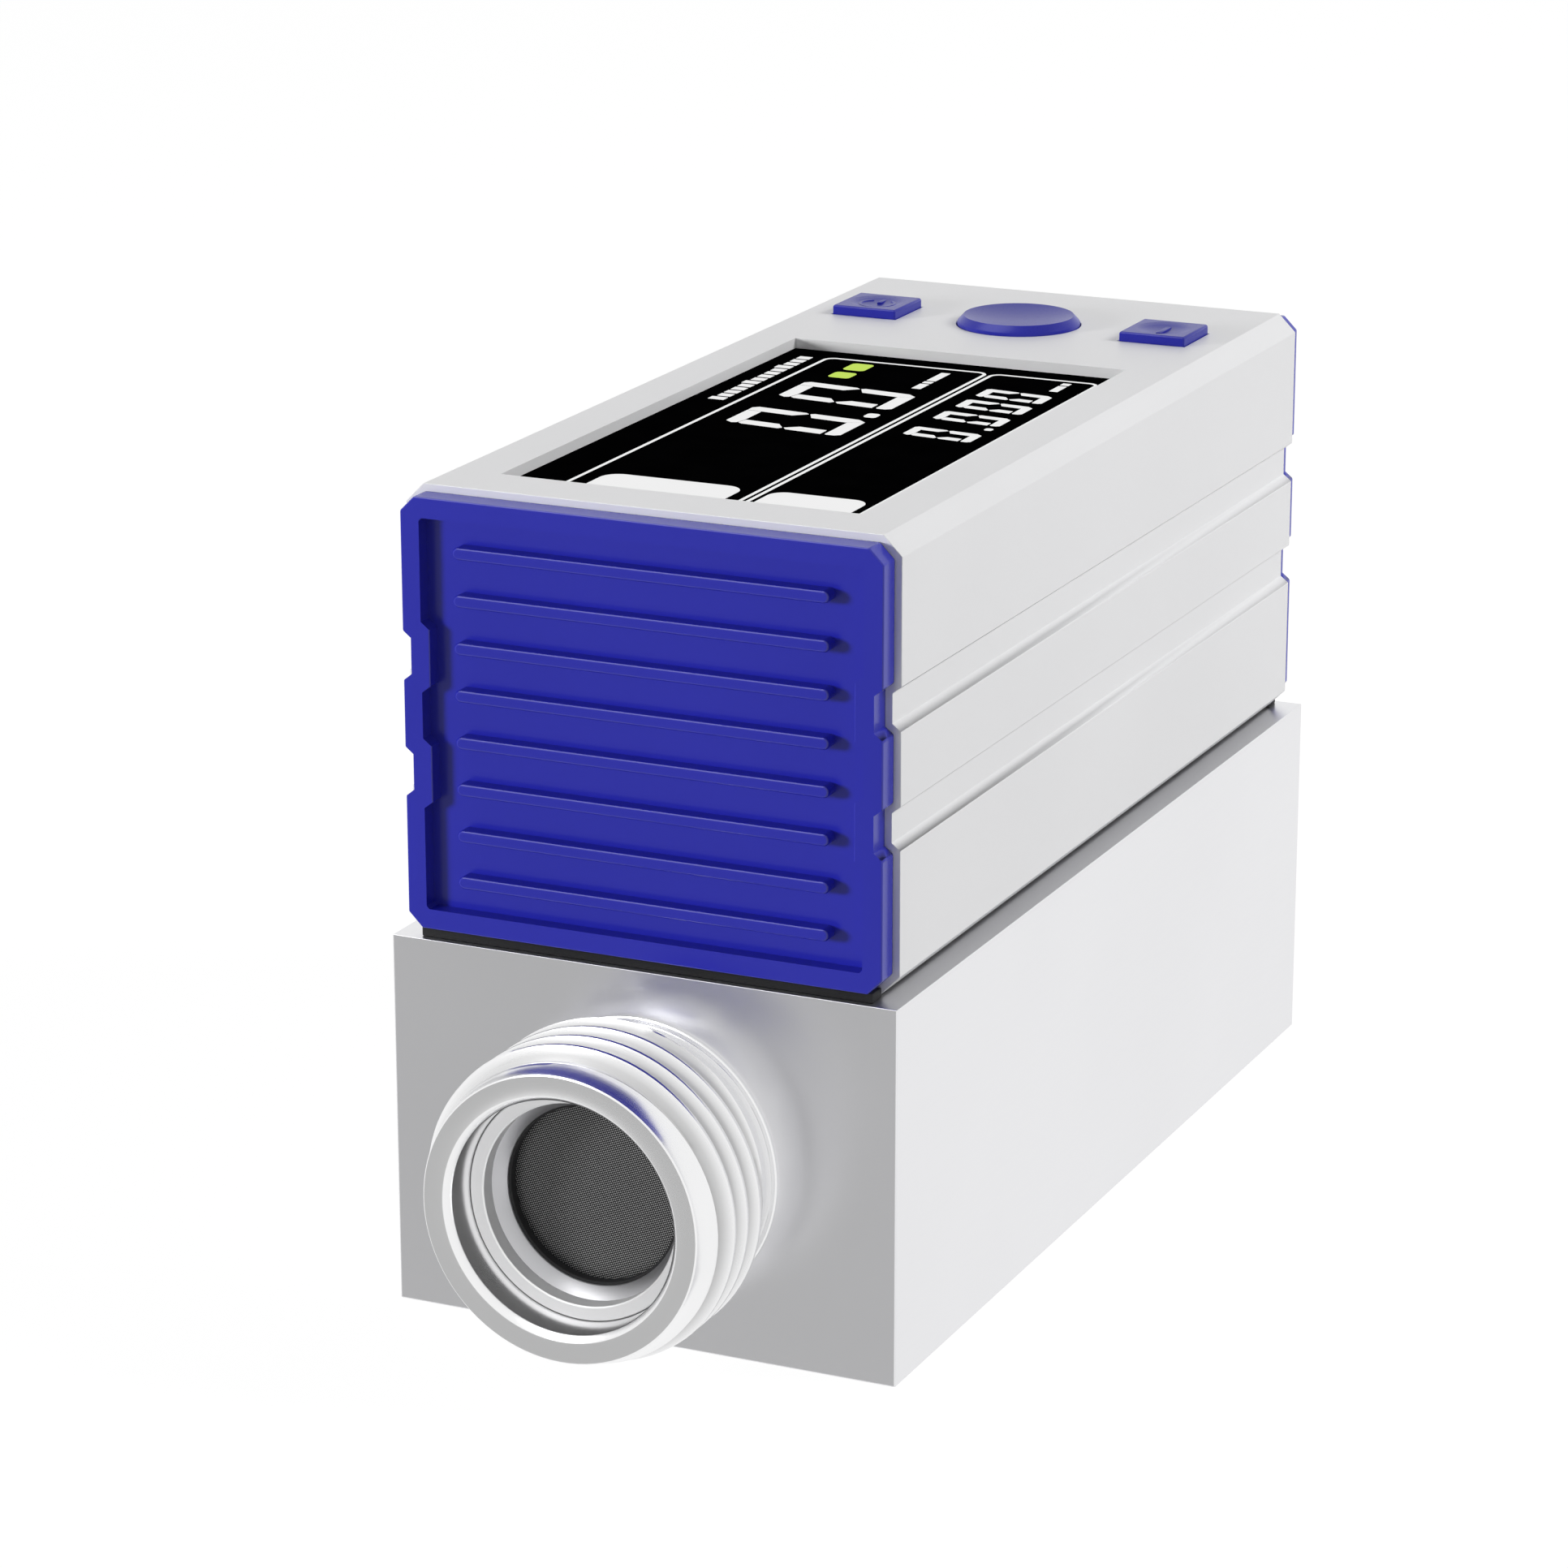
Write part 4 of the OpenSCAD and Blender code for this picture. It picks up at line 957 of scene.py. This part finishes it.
def ring_sign(name, body, x, y, opening_turn_degrees):
    """An open ring: a small rounded section spun part of a turn about an upright axis."""
    mesh = bmesh.new()
    half = ring_width / 2
    section = [(-half, sign_floor), (-half, sign_top - half / 2), (-half / 2, sign_top),
               (half / 2, sign_top), (half, sign_top - half / 2), (half, sign_floor)]
    corners = [mesh.verts.new(((ring_radius + offset) * MM, 0.0, height * MM)) for offset, height in section]
    face = mesh.faces.new(corners)
    start = math.radians(opening_turn_degrees + ring_opening_degrees / 2)
    bmesh.ops.rotate(mesh, verts=corners, cent=(0.0, 0.0, 0.0), matrix=Matrix.Rotation(start, 3, "Z"))
    bmesh.ops.spin(mesh, geom=[face], cent=(0.0, 0.0, 0.0), axis=(0.0, 0.0, 1.0),
                   angle=math.radians(360.0 - ring_opening_degrees), steps=ring_steps, use_duplicate=False)
    bmesh.ops.recalc_face_normals(mesh, faces=mesh.faces)
    bmesh.ops.translate(mesh, verts=mesh.verts, vec=Vector((x, y, 0.0)) * MM)
    add_piece(mesh, name, body, key_blue)


bar_sign("right_key_bar", "key_right", right_x, key_y, 0.42, 2.2)
ring_sign("left_key_ring", "key_left", left_x, key_y, 90.0)
bar_sign("left_key_bar", "key_left", left_x, key_y + ring_radius * 0.72, 0.34, 1.2)
print("signs at", round(left_x, 2), "and", round(right_x, 2), "mm")

# %% [markdown]
# ## Display
# The marks are read from the long right side of the meter, so their tops point across the block. Two framed
# fields hold the flow and the total as plain seven-segment noughts. Bare blocks and bars stand where a
# product has its words and units.

# %% Plates of the display
mark_low = window_high.z
mark_high = window_high.z + 0.02
line_width = 0.24
arc_steps = 8


def plate(mesh, corners):
    """One flat mark from its corners, given as places across and along the display."""
    verts = [mesh.verts.new((x * MM, y * MM, mark_low * MM)) for x, y in corners]
    thicken(mesh, [mesh.faces.new(verts)], (0.0, 0.0, (mark_high - mark_low) * MM))


def bar(mesh, x_low, x_high, y_low, y_high):
    plate(mesh, [(x_low, y_low), (x_high, y_low), (x_high, y_high), (x_low, y_high)])


def arc(centre_x, centre_y, radius, start_degrees):
    """Points of a quarter of a circle."""
    points = []
    for count in range(arc_steps + 1):
        angle = math.radians(start_degrees + 90.0 * count / arc_steps)
        points.append((centre_x + radius * math.cos(angle), centre_y + radius * math.sin(angle)))
    return points


def pill(mesh, x_low, x_high, y_low, y_high, radius):
    """A bar with round corners."""
    left, right = x_low + radius, x_high - radius
    front, back = y_low + radius, y_high - radius
    corners = arc(right, front, radius, -90) + arc(right, back, radius, 0)
    corners += arc(left, back, radius, 90) + arc(left, front, radius, 180)
    plate(mesh, corners)


def add_marks(mesh, name, material):
    bmesh.ops.recalc_face_normals(mesh, faces=mesh.faces)
    add_piece(mesh, name, BODY, material)


print("marks lie at", round(mark_low, 3), "mm")

# %% Frames of the two fields
field_front = window_low.y + 1.0
field_left = -8.95
field_middle = 3.0
second_left = 3.5
second_right = 11.2
field_back = 11.3
corner_radius = 0.7


def field_frame(mesh, left, right, back, front):
    """Three sides of a field, with round corners at the back."""
    half = line_width / 2
    for side in (left, right):
        bar(mesh, side - half, side + half, front, back - corner_radius)
    bar(mesh, left + corner_radius, right - corner_radius, back - half, back + half)
    for centre_x, start in ((left + corner_radius, 90.0), (right - corner_radius, 0.0)):
        outer = arc(centre_x, back - corner_radius, corner_radius + half, start)
        inner = arc(centre_x, back - corner_radius, corner_radius - half, start)
        plate(mesh, outer + inner[::-1])


frames = bmesh.new()
field_frame(frames, field_left, field_middle, field_back, field_front)
field_frame(frames, second_left, second_right, field_back - 0.1, field_front)
add_marks(frames, "display_frames", mark_white)

# %% Noughts of the display


def nought(mesh, left, base, height, width, thick):
    """A seven-segment nought with cut ends. Its top points to -X and it is read along +Y."""
    gap = thick * 0.12
    half = height / 2
    right = width - thick

    def put(points):
        plate(mesh, [(base - up, left + over + slant * up) for over, up in points])

    put([(0.0, height - 0.5 * thick), (0.3 * thick, height), (right - gap, height),
         (right - gap, height - thick), (0.95 * thick, height - thick),
         (0.15 * thick, height - 0.8 * thick)])
    put([(0.0, 0.9 * thick), (0.05 * thick, 0.35 * thick), (0.35 * thick, 0.0),
         (width - 0.55 * thick, 0.0), (right, thick), (0.1 * thick, thick)])
    put([(right, height), (width - 0.35 * thick, height), (width, height - 0.35 * thick),
         (width, half + 0.3 * thick), (width - 0.2 * thick, half + gap / 2), (right, half + 0.9 * thick)])
    put([(width - 0.2 * thick, half - gap / 2), (width, half - 0.3 * thick), (width, 0.6 * thick),
         (width - 0.45 * thick, 0.0), (right + gap, thick), (right, thick + gap),
         (right, half - 0.5 * thick)])
    put([(0.2 * thick, height - 0.8 * thick - gap), (thick, height - thick - gap),
         (thick, half + 0.6 * thick), (0.3 * thick, half + gap / 2), (0.0, half + 0.25 * thick),
         (0.0, height - 1.2 * thick)])
    put([(0.3 * thick, half - gap / 2), (thick, half - 0.9 * thick), (thick, thick + 2.5 * gap),
         (0.0, thick + 2.5 * gap), (0.0, half - 0.3 * thick)])


digits = bmesh.new()
slant = 0.10
big = {"base": 1.4, "height": 8.6, "width": 4.75, "thick": 1.05}
small = {"base": 9.85, "height": 4.95, "width": 2.35, "thick": 0.66}
for left in (-10.1, -1.8):
    nought(digits, left, **big)
pill(digits, 0.55, 1.45, -4.35, -3.2, 0.3)
for left in (-8.25, -3.3, 0.5, 4.0):
    nought(digits, left, **small)
pill(digits, 9.3, 9.85, -4.6, -4.0, 0.2)
add_marks(digits, "display_digits", mark_white)
print("digits", big["height"], "and", small["height"], "mm high")

# %% Labels and small marks of the display
pale_labels = ((-7.65, 1.95, -29.6, -25.3, 1.25), (3.95, 10.5, -29.6, -25.4, 1.1))
green_blocks = ((-6.6, -5.0, 5.8, 7.5, 0.35), (-6.6, -5.0, 8.3, 10.4, 0.35))
big_unit_bars = ((4.9, 1.5), (6.7, 0.5), (7.5, 2.6))
small_unit_bars = ((7.9, 1.7), (9.9, 0.6))
small_mark_count = 14
small_mark_start = -3.6
small_mark_pitch = 1.06
small_mark_length = 0.74
labels = bmesh.new()
for label in pale_labels:
    pill(labels, *label)
for count in range(small_mark_count):
    start = small_mark_start + count * small_mark_pitch
    bar(labels, -11.1 if count % 5 == 0 else -10.9, -9.95, start, start + small_mark_length)
for start, length in big_unit_bars:
    bar(labels, 0.1, 0.75, start, start + length)
for start, length in small_unit_bars:
    bar(labels, 8.9, 9.5, start, start + length)
add_marks(labels, "display_labels", mark_white)
green_marks = bmesh.new()
for block_of_green in green_blocks:
    pill(green_marks, *block_of_green)
add_marks(green_marks, "display_green_marks", mark_green)
print("labels made")

# %% [markdown]
# ## Round socket
# The socket on the rear cap has an outside thread, which is spun as the ports' threads are, a lead chamfer
# at its mouth and a coding rib inside. The four contact pins stand in a black insert, and their tips are
# rounded so that a plug finds them.

# %% Socket sizes
cap_face_y = rear_high.y
socket_tail = socket_low.y - cap_face_y
socket_end = socket_high.y - cap_face_y
flange_thick = 2.0
flange_radius_socket = (socket_high.x - socket_low.x) / 2
socket_radius = 6.0
socket_hole = 4.4
socket_pitch = 1.0
socket_thread_depth = 0.6134 * socket_pitch
socket_thread_turns = 12
socket_thread_steps = 72
socket_lead = 0.6
socket_neck = 1.6
socket_neck_depth = 0.62
print("socket from", round(socket_tail, 2), "to", round(socket_end, 2), "mm of the cap's face")

# %% Socket shell


def socket_limit(along):
    lead = max(0.0, along - (socket_end - socket_lead))
    start = max(0.0, flange_thick + socket_neck - along)
    return socket_radius - lead - min(start, socket_neck_depth)


shell = bmesh.new()
ridge_sleeve(shell, socket_radius, socket_thread_depth, socket_pitch, flange_thick + edge_round,
             socket_end - edge_round, flange_thick - socket_pitch, socket_thread_turns, socket_thread_steps,
             socket_limit, (-2.0, -1.0))
neck_radius = socket_radius - socket_thread_depth
lathe(shell, [
    (neck_radius + edge_round, flange_thick),
    (flange_radius_socket - edge_round, flange_thick),
    (flange_radius_socket, flange_thick - edge_round),
    (flange_radius_socket, 0.0),
    (socket_radius, 0.0),
    (socket_radius, socket_tail),
    (socket_hole, socket_tail),
    (socket_hole, socket_end - edge_round),
    (socket_hole + edge_round, socket_end),
    (socket_radius - socket_lead - edge_round, socket_end),
])
shell_joints = ((flange_thick, flange_thick + edge_round), (socket_end, socket_end - edge_round))
print("socket open edges", close_rings(shell, shell_joints))
settle(shell, (0.0, cap_face_y, socket_z))
shell_piece = add_piece(shell, "socket_barrel", BODY, turned_socket)
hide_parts("socket_shell")

# %% Coding rib and contact pins
rib_width = 1.2
rib_height = 0.85
rib_rise = 0.375
rib_round = 0.12
rib_length = socket_end - flange_thick - 2.4
rib_middle = (0.0, cap_face_y + flange_thick + rib_length / 2, socket_z - socket_hole + rib_rise)
rib = rounded_box(rib_middle, (rib_width, rib_length, rib_height), rib_round)
add_piece(rib, "socket_coding_rib", BODY, turned_socket)

pins_low, pins_high = box_mm("socket_contacts")
pin_radius = 0.5
pin_circle = 2.6
pin_steps = 24
pins = bmesh.new()
for count in range(4):
    angle = math.radians(45.0 + 90.0 * count)
    pin = bmesh.new()
    lathe(pin, [(0.0, pins_low.y), (pin_radius, pins_low.y), (pin_radius, pins_high.y - pin_radius),
                (pin_radius * 0.87, pins_high.y - pin_radius * 0.5),
                (pin_radius * 0.5, pins_high.y - pin_radius * 0.13), (0.0, pins_high.y)], pin_steps)
    settle(pin, (pin_circle * math.cos(angle), 0.0, socket_z + pin_circle * math.sin(angle)))
    loose = bpy.data.meshes.new("loose_pin")
    pin.to_mesh(loose)
    pin.free()
    pins.from_mesh(loose)
    bpy.data.meshes.remove(loose)
pin_piece = add_piece(pins, "contact_pins", BODY, gold_plate)
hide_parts("socket_contacts")
print("contact pins", len(pin_piece.data.polygons), "faces")

# %% [markdown]
# ## Size
# The view layer is brought up to date after the last piece.

# %% Size
bpy.context.view_layer.update()
